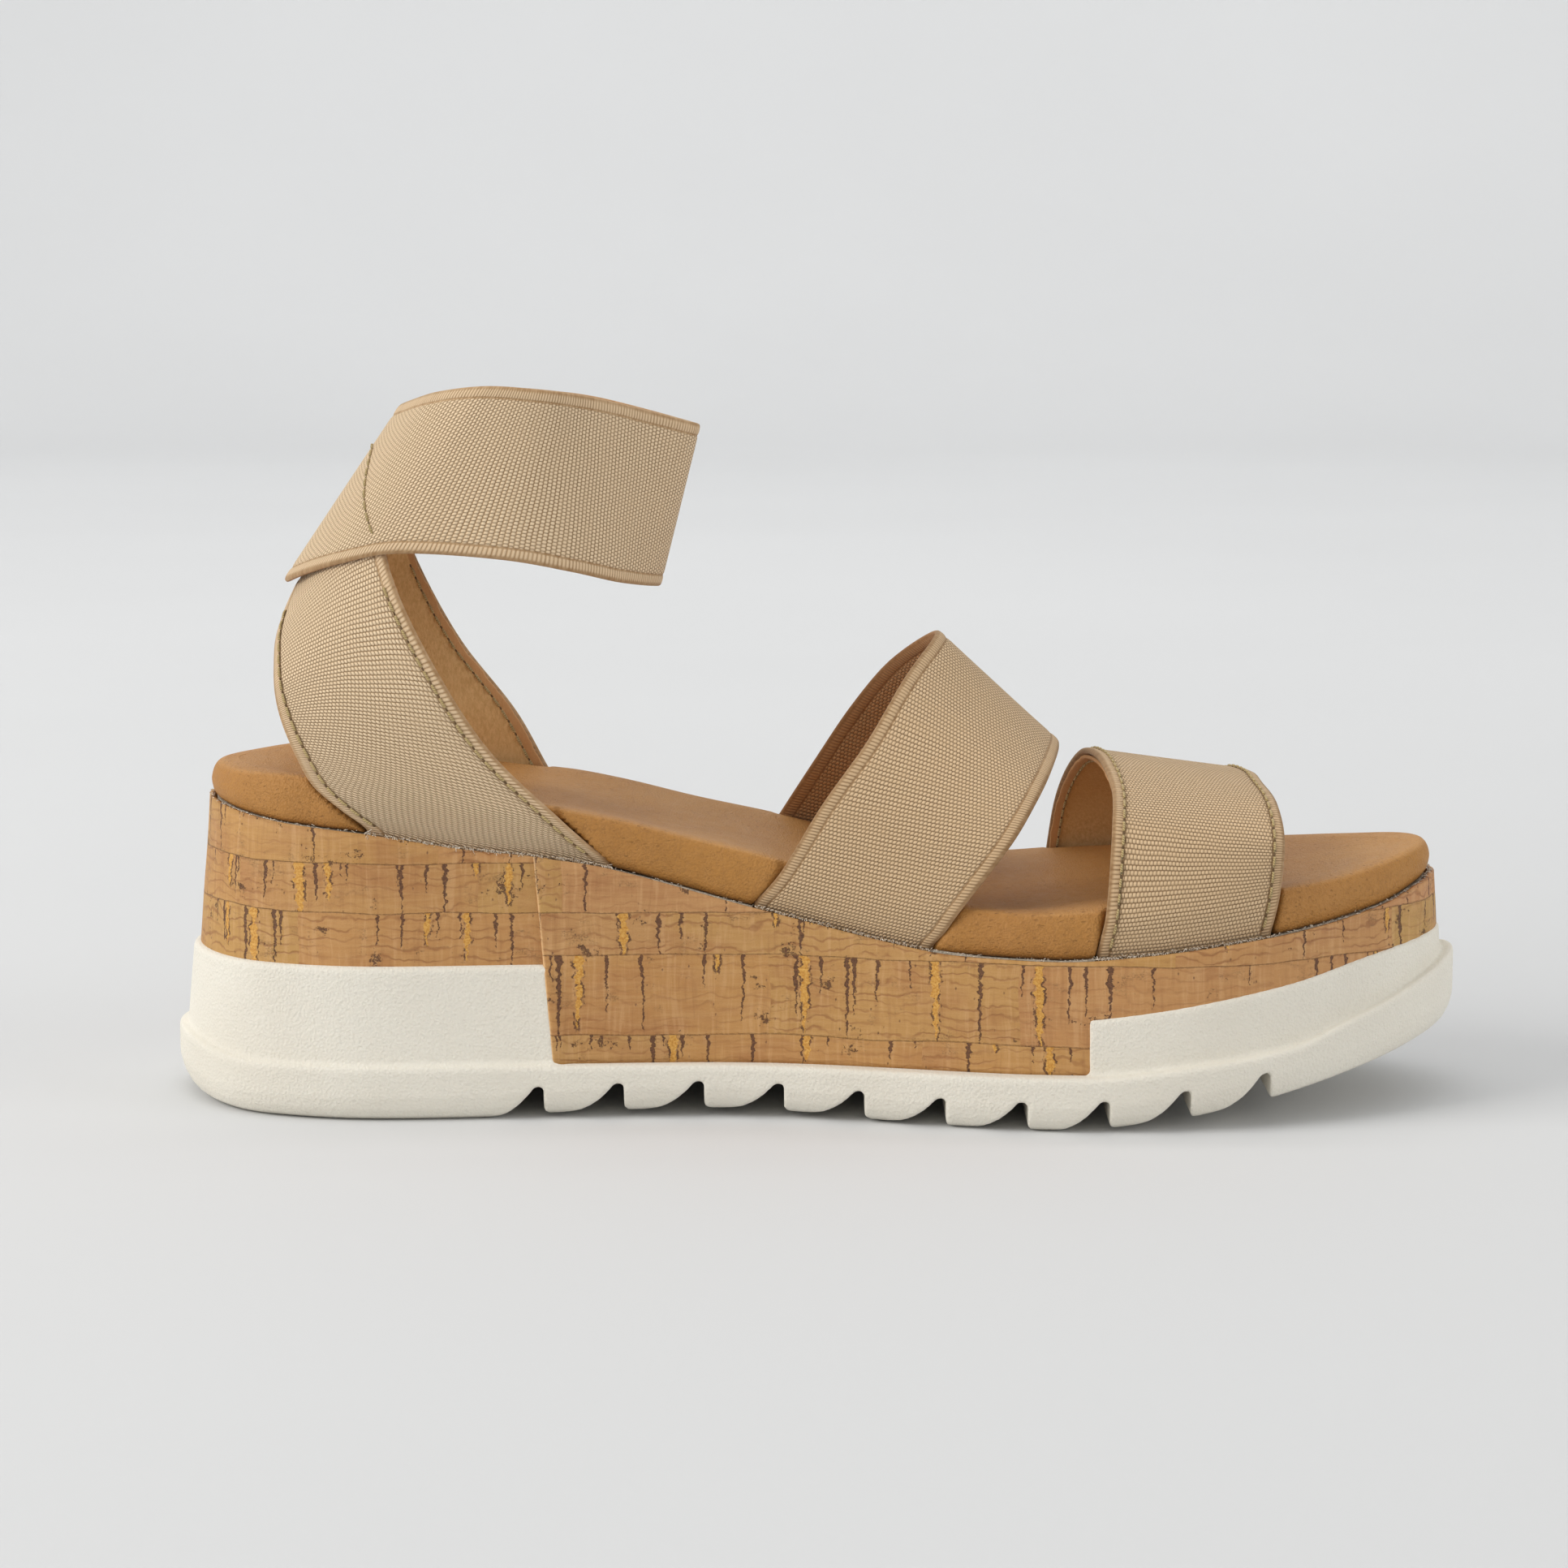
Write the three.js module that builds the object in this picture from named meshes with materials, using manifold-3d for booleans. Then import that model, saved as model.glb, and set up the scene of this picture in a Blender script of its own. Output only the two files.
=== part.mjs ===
// Wedge sandal with elastic straps: one left sandal in millimetres, +Z up, toe towards +X.
// The inner (arch) side of the foot faces -Y, "near"; the outer side faces +Y, "far".
import * as THREE from "three";
import { mergeVertices } from "three/addons/utils/BufferGeometryUtils.js";
import Module from "manifold-3d";

const wasm = await Module();
wasm.setup();

// ---------------------------------------------------------------- driving dimensions
const STATIONS = 24; // ladder rungs along every loft
const PANELS = 3; // flat panels across a strap
const ROWS_PER_SEGMENT = 2; // rows between a strap's control points
const GAP = 0.3; // clearance kept between pieces that are glued or sewn together
const CORK_THICKNESS = 1.0;
const CUP_WALL = 1.0; // outsole wall round the heel and the toe
const HEEL_CUP_TOP = 31.3;
const HEEL_CUP_FRONT = -56.5;
const TOE_CUP_REAR = 54.6;
const CORK_SEAM = -57.6;
const LEATHER = 0.9;
const TURNED_MARGIN = 12; // leather lapped under the footbed's edge
const BOARD_THICKNESS = 1.6;
const BOARD_INSET = 4.8; // clear of the straps at the footbed's edge
const ELASTIC = 1.4;
const LINING = 0.8;
const LINING_GAP = 0.25;
const THREAD = 0.5;
const THREAD_LIFT = 0.75; // middle of a thread above the strap's outer face
const STITCH_INSET = 2.3; // stitch row to the strap's edge
const TREAD_PITCH = 16.3;
const TREAD_DEPTH = 6.2;
const TREAD_TEETH = 10;
const TREAD_START = -55.6;
const TREAD_CURVE = [0, 0.25, 0.48, 0.68, 0.86, 1]; // where a tooth's underside has its facets
const TREAD_LEDGE = 0.86; // share of a tooth's underside that curves, before the flat ledge
const HINGE = { x: -84, z: 113, lean: 12, gap: 1.1 }; // where the ankle band is parted to swing

// Footbed outline, from the middle of the heel round the near side to the toe and back.
const NEAR_SIDE = [[-126.4, 0], [-117.5, -21.5], [-98, -31], [-55, -30], [-10, -29.5], [45, -42.5],
  [70, -43.5], [91, -39], [106, -31.5], [118.5, -21.5], [126, -11], [128.5, -2]];
const FAR_SIDE = [[126.5, 7], [118.5, 18.5], [103, 30.5], [80, 38.5], [45, 43.5], [25, 43],
  [-15, 36], [-55, 32], [-98, 31], [-117.5, 21.5]];

// Heights along the sandal.
const padLine = profile([[-127, 62.5], [-109, 60], [-91.4, 58.2], [-71, 54.9], [-57.6, 53.4],
  [-43, 51.1], [-12.4, 42.7], [21.4, 35.4], [39, 34.3], [55, 34.4], [91, 38.3], [115, 42.3],
  [128.5, 46.3]]);
const padDepth = profile([[-127, 6.7], [-109, 9.2], [-91, 9.8], [-55, 10.2], [-43, 9.6], [-12, 10.5],
  [21, 9.7], [39, 8.9], [55, 9.7], [95, 8.8], [128.5, 7.4]]);
const dishDepth = profile([[-127, 0.5], [-100, 2.6], [-40, 1.6], [20, 1.2], [80, 1.5], [128, 0.2]]);
const soleBottom = profile([[-134.4, 3], [-127, 0.9], [-118, 0], [-108, 0], [-66, 0], [-58, 0.6],
  [-40, 1.2], [-17, 1.5], [20, 0], [28, 0], [44, 0], [52, 0], [63, 1.1], [76, 2.7], [91.5, 5.5],
  [110.5, 9.7], [121, 12.3], [134.4, 15.8]]);
const stepLine = profile([[-134, 14.5], [-120, 11.8], [-110, 11.4], [54.6, 11.3], [72, 12.9],
  [95.6, 16.2], [107.5, 20.4], [116, 23.2], [123.5, 26.1], [134.4, 30.6]]);
// The outsole's upper face, under the wedge.
const floorLine = profile([[-134, 11.3], [56, 11.3], [76, 12.6], [95, 15.4], [110, 18.6], [121, 21.6],
  [134.4, 25.5]]);
const toeCupTop = profile([[54.6, 22.5], [75.6, 25.4], [96, 28.9], [111.5, 32.4], [130, 35],
  [134.4, 35.6]]);
const corkDraft = profile([[-127, 0.085], [40, 0.08], [100, 0.055], [128, 0.05]]);
const baseReach = profile([[-127, 8], [-60, 7.3], [40, 7], [90, 5.9], [128, 5.7]]);

// ---------------------------------------------------------------- curves and solids
// A smooth curve z(x) through the points, level beyond its ends.
function profile(points) {
  const last = points.length - 1;
  const slope = (i) => {
    const before = points[Math.max(i - 1, 0)];
    const after = points[Math.min(i + 1, last)];
    return (after[1] - before[1]) / (after[0] - before[0]);
  };
  return (x) => {
    let i = 0;
    while (i < last - 1 && x > points[i + 1][0]) i += 1;
    const [x0, z0] = points[i];
    const [x1, z1] = points[i + 1];
    const span = x1 - x0;
    const t = THREE.MathUtils.clamp((x - x0) / span, 0, 1);
    const lead = t * t * (3 - 2 * t);
    const tangents = t * (1 - t) * ((1 - t) * slope(i) - t * slope(i + 1));
    return z0 + (z1 - z0) * lead + span * tangents;
  };
}

// The footbed outline moved outwards by distance(x): its ends and its two sides as y(x).
function offsetOutline(distance) {
  const samples = 360;
  const curve = new THREE.CatmullRomCurve3(
    [...NEAR_SIDE, ...FAR_SIDE].map(([x, y]) => new THREE.Vector3(x, y, 0)), true, "centripetal");
  const points = [];
  for (let i = 0; i < samples; i += 1) {
    const point = curve.getPoint(i / samples);
    const tangent = curve.getTangent(i / samples);
    const reach = distance(point.x);
    points.push([point.x + tangent.y * reach, point.y - tangent.x * reach]);
  }
  const xs = points.map((point) => point[0]);
  const heel = xs.indexOf(Math.min(...xs));
  const toe = xs.indexOf(Math.max(...xs));
  const chain = (from, to) => {
    const list = [];
    for (let i = from; i <= to; i += 1) list.push(points[i % samples]);
    return list;
  };
  const heelTurn = heel > toe ? heel - samples : heel;
  const near = chain(heelTurn + samples, toe + samples);
  const far = chain(toe, heelTurn + samples).reverse();
  const sideAt = (list) => (x) => {
    let i = 0;
    while (i < list.length - 2 && x > list[i + 1][0]) i += 1;
    const [x0, y0] = list[i];
    const [x1, y1] = list[i + 1];
    const t = x1 === x0 ? 0 : THREE.MathUtils.clamp((x - x0) / (x1 - x0), 0, 1);
    return y0 + (y1 - y0) * t;
  };
  return { xMin: xs[heel], xMax: xs[toe], near: sideAt(near), far: sideAt(far) };
}

// A closed solid from loose triangles: shared corners merged, slivers dropped, faces out.
function solidOf(positions, triangles) {
  const loose = new THREE.BufferGeometry();
  loose.setAttribute("position", new THREE.Float32BufferAttribute(positions, 3));
  loose.setIndex(triangles);
  return toSolid(loose);
}

function toSolid(geometry) {
  const bare = geometry.clone();
  bare.deleteAttribute("normal");
  bare.deleteAttribute("uv");
  const merged = mergeVertices(bare, 1e-4);
  const vertices = merged.attributes.position.array;
  const index = merged.index.array;
  const kept = [];
  let volume = 0;
  for (let i = 0; i < index.length; i += 3) {
    const [a, b, c] = [index[i], index[i + 1], index[i + 2]];
    if (a === b || b === c || c === a) continue;
    kept.push(a, b, c);
    const [pa, pb, pc] = [a, b, c].map((v) => new THREE.Vector3().fromArray(vertices, 3 * v));
    volume += pa.dot(pb.cross(pc));
  }
  if (volume < 0) kept.reverse();
  return new wasm.Manifold(new wasm.Mesh({
    numProp: 3,
    vertProperties: new Float32Array(vertices),
    triVerts: new Uint32Array(kept),
  }));
}

function toGeometry(solid) {
  const mesh = solid.getMesh();
  const geometry = new THREE.BufferGeometry();
  geometry.setAttribute("position", new THREE.Float32BufferAttribute(mesh.vertProperties, 3));
  geometry.setIndex(new THREE.BufferAttribute(mesh.triVerts, 1));
  geometry.computeVertexNormals();
  return geometry;
}

const always = (value) => () => value;

// A solid stacked from outline levels, bottom to top. Each level is [offset(x), z(x)].
// With columns the top is a grid across the sandal, dished in the middle by dish(x).
function loft(levels, columns = 0, dish = always(0)) {
  const positions = [];
  const triangles = [];
  const addPoint = (x, y, z) => positions.push(x, y, z) / 3 - 1;
  const quad = (a, b, c, d) => triangles.push(a, b, c, a, c, d);
  const rings = levels.map(([offset, height]) => {
    const edge = offsetOutline(offset);
    const middle = (edge.xMin + edge.xMax) / 2;
    const half = (edge.xMax - edge.xMin) / 2;
    const ring = { near: [], far: [], xs: [], edge };
    for (let k = 0; k <= STATIONS; k += 1) {
      const x = middle - half * Math.cos((Math.PI * k) / STATIONS);
      const atTip = k === 0 || k === STATIONS;
      const far = atTip ? edge.near(x) : edge.far(x);
      ring.xs.push(x);
      ring.near.push(addPoint(x, edge.near(x), height(x)));
      ring.far.push(addPoint(x, far, height(x)));
    }
    return ring;
  });
  for (let level = 0; level + 1 < rings.length; level += 1) {
    const [low, high] = [rings[level], rings[level + 1]];
    for (let k = 0; k < STATIONS; k += 1) {
      quad(low.near[k], low.near[k + 1], high.near[k + 1], high.near[k]);
      quad(low.far[k + 1], low.far[k], high.far[k], high.far[k + 1]);
    }
  }
  const bottom = rings[0];
  for (let k = 0; k < STATIONS; k += 1) {
    quad(bottom.near[k], bottom.far[k], bottom.far[k + 1], bottom.near[k + 1]);
  }
  const top = rings[rings.length - 1];
  const topHeight = levels[levels.length - 1][1];
  const rows = top.xs.map((x, k) => {
    const row = [top.near[k]];
    const [y0, y1] = [positions[3 * top.near[k] + 1], positions[3 * top.far[k] + 1]];
    for (let c = 1; c <= columns; c += 1) {
      const across = c / (columns + 1);
      const bowl = 1 - Math.abs(2 * across - 1) ** 2.4;
      const sag = k === 0 || k === STATIONS ? 0 : dish(x) * bowl;
      row.push(addPoint(x, y0 + (y1 - y0) * across, topHeight(x) - sag));
    }
    row.push(top.far[k]);
    return row;
  });
  for (let k = 0; k < STATIONS; k += 1) {
    for (let c = 0; c <= columns; c += 1) {
      quad(rows[k][c], rows[k + 1][c], rows[k + 1][c + 1], rows[k][c + 1]);
    }
  }
  return solidOf(positions, triangles);
}

// A block from x = from to x = to, wider and taller than the sandal, leaning back by lean degrees.
function slab(from, to, lean = 0, pivotZ = 0) {
  const block = new THREE.BoxGeometry(to - from, 200, 400);
  block.translate((from + to) / 2, 0, 0);
  block.translate(-HINGE.x, 0, 0);
  block.rotateY(THREE.MathUtils.degToRad(-lean));
  block.translate(HINGE.x, 0, pivotZ);
  return toSolid(block);
}

// ---------------------------------------------------------------- strap surfaces
// A strap's outer face runs through guide curves with matching control points, side by side
// from its first edge (u = 0) to its second (u = 1); t runs along the strap.
function strapFace(guides) {
  const closed = guides[0].closed;
  const point = (t, u) => {
    const panel = THREE.MathUtils.clamp(Math.floor(u * PANELS), 0, PANELS - 1);
    return guides[panel].getPoint(t).lerp(guides[panel + 1].getPoint(t), u * PANELS - panel);
  };
  const across = (t) => guides[PANELS].getPoint(t).sub(guides[0].getPoint(t));
  const along = (t, u) => {
    const step = 0.003;
    if (closed) return point((t + step) % 1, u).sub(point((t - step + 1) % 1, u)).normalize();
    return point(Math.min(t + step, 1), u).sub(point(Math.max(t - step, 0), u)).normalize();
  };
  const centre = new THREE.Vector3();
  const probes = 24;
  for (let i = 0; i < probes; i += 1) centre.addScaledVector(point(i / probes, 0.5), 1 / probes);
  const normal = (t, u) => {
    const reach = 0.5 / PANELS;
    const sideways = point(t, u + reach).sub(point(t, u - reach));
    return along(t, u).cross(sideways).normalize();
  };
  let facing = 0;
  for (let i = 0; i < probes; i += 1) {
    const t = (i + 0.5) / probes;
    facing += normal(t, 0.5).dot(point(t, 0.5).sub(centre));
  }
  const outward = (t, u) => normal(t, u).multiplyScalar(Math.sign(facing));
  const segments = guides[0].points.length - (closed ? 0 : 1);
  return { closed, point, along, outward, segments, width: (t) => across(t).length() };
}

// The layer of a strap between two depths below its outer face, grown on every side by grow,
// from one control point to another.
function strapLayer(face, top, bottom, grow = 0, start = 0, end = face.segments) {
  const steps = Math.ceil((end - start) * ROWS_PER_SEGMENT);
  const positions = [];
  const triangles = [];
  const rows = [];
  for (let i = 0; i <= (face.closed ? steps - 1 : steps); i += 1) {
    const t = (start + ((end - start) * i) / steps) / face.segments;
    const margin = grow / face.width(t);
    const endShift = face.closed ? 0 : { 0: -grow, [steps]: grow }[i] ?? 0;
    const row = [[], []];
    for (let j = 0; j <= PANELS; j += 1) {
      const u = -margin + ((1 + 2 * margin) * j) / PANELS;
      const base = face.point(t, u).addScaledVector(face.along(t, u), endShift);
      const normal = face.outward(t, u);
      [grow - top, -grow - bottom].forEach((height, side) => {
        const p = base.clone().addScaledVector(normal, height);
        row[side].push(positions.push(p.x, p.y, p.z) / 3 - 1);
      });
    }
    rows.push([...row[0], ...row[1].reverse()]);
  }
  const ring = rows[0].length;
  const spans = face.closed ? rows.length : rows.length - 1;
  for (let i = 0; i < spans; i += 1) {
    const [row, next] = [rows[i], rows[(i + 1) % rows.length]];
    for (let j = 0; j < ring; j += 1) {
      const k = (j + 1) % ring;
      if (j > PANELS) triangles.push(row[j], next[j], row[k], next[j], next[k], row[k]);
      else triangles.push(row[j], next[j], next[k], row[j], next[k], row[k]);
    }
  }
  if (!face.closed) {
    const last = rows[rows.length - 1];
    for (let j = 0; j < PANELS; j += 1) {
      const [a, b, c, d] = [j, j + 1, ring - 2 - j, ring - 1 - j];
      triangles.push(rows[0][a], rows[0][b], rows[0][c], rows[0][a], rows[0][c], rows[0][d]);
      triangles.push(last[c], last[b], last[a], last[d], last[c], last[a]);
    }
  }
  return solidOf(positions, triangles);
}

const mirrored = (list) => [...list, ...list.slice(0, -1).reverse().map(([x, y, z]) => [x, -y, z])];
const lerpPoint = (a, b, u) => new THREE.Vector3(...a).lerp(new THREE.Vector3(...b), u);

function guideFractions() {
  return Array.from({ length: PANELS + 1 }, (unused, i) => i / PANELS);
}

// How a strap's end is tucked in: [offset from the footbed's outline, height over its lower
// line, part of the way from the line's x to the rim's x].
const TUCK = [[-15, -3, 0], [-6, -3, 0], [-2.2, -2.2, 0], [-0.7, 0.3, 0], [0.6, 4, 0.47], [1, 8.5, 1]];
const TUCK_EDGES = TUCK.map(([offset]) => offsetOutline(always(offset)));
const SAG_FADE = 0.55; // how fast the footbed's curve fades out of a strap, per control point

// A strap with both ends tucked under the footbed. Each edge is { near, free, far }, where near
// and far are [x at the footbed's lower line, x at its rim] and free are the points between.
function tuckedStrap(first, second) {
  const tab = (side, u) => TUCK.map(([, rise, part], i) => {
    const at = ([lineX, rimX]) => lineX + (rimX - lineX) * part;
    const x = THREE.MathUtils.lerp(at(first[side]), at(second[side]), u);
    return new THREE.Vector3(x, TUCK_EDGES[i][side](x), padLine(x) + rise);
  });
  const rimPoint = (side, u) => tab(side, u)[TUCK.length - 1];
  const sag = (side, u) => rimPoint(side, u).sub(rimPoint(side, 0).lerp(rimPoint(side, 1), u));
  return strapFace(guideFractions().map((u) => {
    const count = first.free.length;
    const free = first.free.map((point, i) => lerpPoint(point, second.free[i], u)
      .addScaledVector(sag("near", u), SAG_FADE ** (i + 1))
      .addScaledVector(sag("far", u), SAG_FADE ** (count - i)));
    const points = [...tab("near", u), ...free, ...tab("far", u).reverse()];
    return new THREE.CatmullRomCurve3(points, false, "centripetal");
  }));
}

const toeStrap = tuckedStrap(
  { near: [56, 57.6],
    free: [[59.4, -37, 61.5], [60, -29, 66.5], [59.2, -14, 70.3], [58, 0, 71], [56.3, 14, 69.3],
      [54, 28, 62.5], [52.5, 37, 54.5]],
    far: [50, 51.3] },
  { near: [91.8, 93.4],
    free: [[94.4, -36.5, 57.3], [94, -26, 63.6], [92.6, -12, 66], [92.2, 0, 66.3],
      [90, 14, 65.1], [87.5, 25, 60.5], [86.5, 33, 52.7]],
    far: [84.5, 85.7] });

const vampStrap = tuckedStrap(
  { near: [-12.8, -7.4],
    free: [[0.8, -29.5, 63.5], [10, -25.5, 76], [18, -16, 88], [25.5, 0, 96.4], [16, 16, 88.5],
      [7.8, 25.8, 77.5], [0.1, 30.8, 65.3]],
    far: [-13.3, -8.8] },
  { near: [23.3, 28.4],
    free: [[39.1, -38.5, 57.3], [44.5, -32, 65], [48.2, -22, 69.8], [51.2, 0, 72.8],
      [48, 22, 69.5], [44, 33, 63.5], [38, 40, 55]],
    far: [20.5, 30] });

// One sling that runs round the back of the heel.
const heelStrap = tuckedStrap(
  { near: [-91.4, -102.4],
    free: mirrored([[-105.6, -29, 73], [-109, -26, 80], [-110.9, -22, 85.7], [-111.6, -17, 91.3],
      [-111.8, -12, 95.5], [-110.8, -6, 100.4], [-109, 0, 105]]),
    far: [-93.5, -104.4] },
  { near: [-42, -52.5],
    free: [...mirrored([[-66.3, -31, 74.8], [-76.6, -31, 90.7], [-85.2, -27.5, 107.3],
      [-88.6, -23, 117.5], [-90, -17, 125.5], [-89.8, -11, 130.3], [-89.5, 0, 137]]).slice(0, -1),
    [-64.4, 31, 74.8]],
    far: [-51.4, -57.5] });

// The ankle band is a closed loop, mirrored about the sandal's middle: from the back of the
// heel along the near side to the front.
const BAND_LOWER = [[-110.6, 0, 106.5], [-105.5, -11, 109], [-97, -20, 112], [-86, -26, 114.4],
  [-63.2, -28, 113.3], [-50, -24, 110.6], [-40.5, -15, 107.6], [-33, 0, 105.5]];
const BAND_UPPER = [[-85.6, 0, 143.2], [-82, -11, 144.9], [-76, -20, 146.9], [-66, -26, 148.2],
  [-54, -26.5, 147.3], [-46.6, -22, 146], [-36.8, -14, 143.3], [-24.5, 0, 139.3]];

const BAND_ROLL = 0.1; // how much the far side hangs lower than the near side, per mm across

const ankleBand = strapFace(guideFractions().map((u) => {
  const half = BAND_LOWER.map((point, i) => lerpPoint(point, BAND_UPPER[i], u));
  const back = half.slice(1, -1).reverse().map(({ x, y, z }) => {
    return new THREE.Vector3(x, -y, z + BAND_ROLL * y * THREE.MathUtils.smoothstep(x, -112, -80));
  });
  return new THREE.CatmullRomCurve3([...half, ...back], true, "centripetal");
}));

const LINED = ELASTIC + LINING_GAP + LINING;

// The room that both ends of every strap need, between two of their control points.
function strapEnvelope(depths, grow, start, end) {
  const ends = [toeStrap, vampStrap, heelStrap].flatMap((face, i) => {
    const last = face.segments;
    return [strapLayer(face, -1, depths[i], grow, start, end),
      strapLayer(face, -1, depths[i], grow, last - end, last - start)];
  });
  return ends.reduce((all, one) => all.add(one));
}

// In the wedge the pockets are open upwards; in the footbed's side they follow the straps.
const tuckPocket = () => strapEnvelope(Array(3).fill(LINED + 0.5), GAP, 0, 4);
const sideRecess = (grow) => strapEnvelope([LINED, ELASTIC, LINED], grow + 0.1, 2, 6.5);

// A row of stitches over a strap: from control point start to control point end, at one edge.
function stitchRow(face, start, end, side, lift = THREAD_LIFT) {
  const count = Math.ceil((end - start) * 3);
  const points = [];
  for (let i = 0; i <= count; i += 1) {
    const t = (start + ((end - start) * i) / count) / face.segments;
    const inset = STITCH_INSET / face.width(t);
    const u = side === "first" ? inset : 1 - inset;
    points.push(face.point(t, u).addScaledVector(face.outward(t, u), lift));
  }
  return threadAlong(points);
}

function threadAlong(points) {
  const half = THREAD / 2;
  const section = new THREE.Shape([new THREE.Vector2(half, 0), new THREE.Vector2(0, half),
    new THREE.Vector2(-half, 0), new THREE.Vector2(0, -half)]);
  const path = new THREE.CatmullRomCurve3(points, false, "centripetal");
  const steps = points.length;
  return toSolid(new THREE.ExtrudeGeometry(section, { steps, bevelEnabled: false, extrudePath: path }));
}

// ---------------------------------------------------------------- sole, wedge and cork
const corkFace = (below) => (x) => 0.65 + below(x) * corkDraft(x);
const corkAt = (height, extra = 0) => (x) => corkFace((at) => padLine(at) - height(at))(x) + extra;

// The wedge body inside the cork, from the outsole's floor up to the footbed.
function wedgeBody(inset, bottomLift, topDrop) {
  const bottom = (x) => floorLine(x) + bottomLift;
  const top = (x) => padLine(x) - topDrop;
  const middle = (x) => (bottom(x) + top(x)) / 2;
  return loft([[corkAt(bottom, -inset), bottom],
    [corkAt(middle, -inset), middle],
    [corkAt(top, -inset), top]]);
}

// The space between the tread's teeth, as one long strip below the sole.
function treadCut() {
  const arcStart = TREAD_START - 12.4;
  const rise = (s) => TREAD_DEPTH * Math.min(1, (s / TREAD_LEDGE) ** 2.3);
  const outline = [[arcStart - 4, soleBottom(arcStart - 4)]];
  for (const s of TREAD_CURVE) {
    const x = arcStart + 12.4 * s;
    outline.push([x, soleBottom(x) + rise(s)]);
  }
  for (let tooth = 0; tooth < TREAD_TEETH; tooth += 1) {
    const face = TREAD_START + tooth * TREAD_PITCH;
    outline.push([face + 0.05, soleBottom(face) + 1.6], [face + 0.9, soleBottom(face) + 0.4]);
    for (const s of tooth < TREAD_TEETH - 1 ? TREAD_CURVE : []) {
      const x = face + 3 + (TREAD_PITCH - 3) * s;
      outline.push([x, soleBottom(x) + rise(s)]);
    }
  }
  const end = TREAD_START + (TREAD_TEETH - 1) * TREAD_PITCH + 3;
  outline.push([end, soleBottom(end) - 0.5]);
  const drop = -3;
  const shape = new THREE.Shape([[arcStart - 4, drop], ...outline, [end, drop]]
    .map(([x, z]) => new THREE.Vector2(x, z)));
  const cut = new THREE.ExtrudeGeometry(shape, { depth: 160, bevelEnabled: false });
  cut.rotateX(Math.PI / 2);
  cut.translate(0, 80, 0);
  return toSolid(cut);
}

function outsole() {
  const reach = (extra) => (x) => baseReach(x) + extra;
  const above = (line, extra) => (x) => line(x) + extra;
  const base = loft([[reach(-4), soleBottom],
    [reach(-0.8), above(soleBottom, 2.2)],
    [reach(0), above(soleBottom, 5)],
    [reach(-0.2), above(stepLine, -0.8)],
    [reach(-1), stepLine]]);
  const wallFoot = (x) => stepLine(x) - 2;
  const cup = (top) => loft([[corkAt(wallFoot, CUP_WALL + GAP), wallFoot],
    [corkAt(top, CUP_WALL + GAP), top]]);
  const heelCup = cup(always(HEEL_CUP_TOP)).intersect(slab(-150, HEEL_CUP_FRONT));
  const toeCup = cup(toeCupTop).intersect(slab(TOE_CUP_REAR, 150));
  const walls = heelCup.add(toeCup);
  const pocket = wedgeBody(-GAP, 0, -20);
  return base.add(walls).subtract(treadCut()).subtract(pocket);
}

function wedgeCore() {
  return wedgeBody(CORK_THICKNESS + GAP, GAP, GAP).subtract(tuckPocket());
}

function corkWrap(from, to) {
  const outside = wedgeBody(0, GAP, GAP);
  const inside = wedgeBody(CORK_THICKNESS, -1, -1);
  return outside.subtract(inside).intersect(slab(from, to));
}

// ---------------------------------------------------------------- footbed
// The footbed's outer form shrunk by inset, starting floor above the footbed's lower line.
function padBody(inset, floor) {
  const rim = (x) => padLine(x) + padDepth(x);
  const line = (rise) => (x) => padLine(x) + rise;
  return loft([[always(-0.6 - inset), line(floor)],
    [always(-inset), line(Math.max(2.5, floor + 0.4))],
    [always(-inset), (x) => padLine(x) + padDepth(x) * 0.68],
    [always(-1 - inset), (x) => rim(x) - 0.6 - inset],
    [always(-2.6 - inset), (x) => rim(x) - inset]], 5, dishDepth);
}

function footbedCover() {
  const shell = padBody(0, 0).subtract(sideRecess(GAP));
  const hollow = padBody(LEATHER, LEATHER).subtract(sideRecess(GAP + LEATHER));
  const opening = loft([[always(-TURNED_MARGIN), (x) => padLine(x) - 1],
    [always(-TURNED_MARGIN), (x) => padLine(x) + 2]]);
  return shell.subtract(hollow).subtract(opening);
}

const BOARD_BOTTOM = LEATHER + GAP;
const BOARD_TOP = BOARD_BOTTOM + BOARD_THICKNESS;

function insoleBoard() {
  const edge = always(-BOARD_INSET);
  return loft([[edge, (x) => padLine(x) + BOARD_BOTTOM], [edge, (x) => padLine(x) + BOARD_TOP]]);
}

function footbedFoam() {
  return padBody(LEATHER + 4 * GAP, BOARD_TOP + GAP).subtract(sideRecess(2 * GAP + LEATHER));
}

// ---------------------------------------------------------------- straps and thread
const elasticOf = (face) => strapLayer(face, 0, ELASTIC);
const liningOf = (face) => strapLayer(face, ELASTIC + LINING_GAP, LINED);

// The band lies over the top of the heel strap, and keeps clear of it.
const BAND_TOP = -0.6;
const bandRing = () => strapLayer(ankleBand, BAND_TOP, BAND_TOP + ELASTIC)
  .subtract(strapLayer(heelStrap, 0, LINED, GAP));

function bandLoop() {
  return bandRing().intersect(slab(HINGE.x, 150, 0, HINGE.z));
}

function bandBack() {
  return bandRing().intersect(slab(-150, HINGE.x - HINGE.gap, HINGE.lean, HINGE.z));
}

function bandThread() {
  const row = [[0.015, 0.76], [0.035, 0.73], [0.065, 0.62], [0.099, 0.48], [0.127, 0.35], [0.165, 0.18]];
  const onBand = ([t, u]) => {
    const at = (t + 1) % 1;
    return ankleBand.point(at, u).addScaledVector(ankleBand.outward(at, u), THREAD_LIFT - BAND_TOP);
  };
  const far = row.map(([t, u]) => [-t, u]).reverse();
  return threadAlong([...far, ...row].map(onBand));
}

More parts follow.
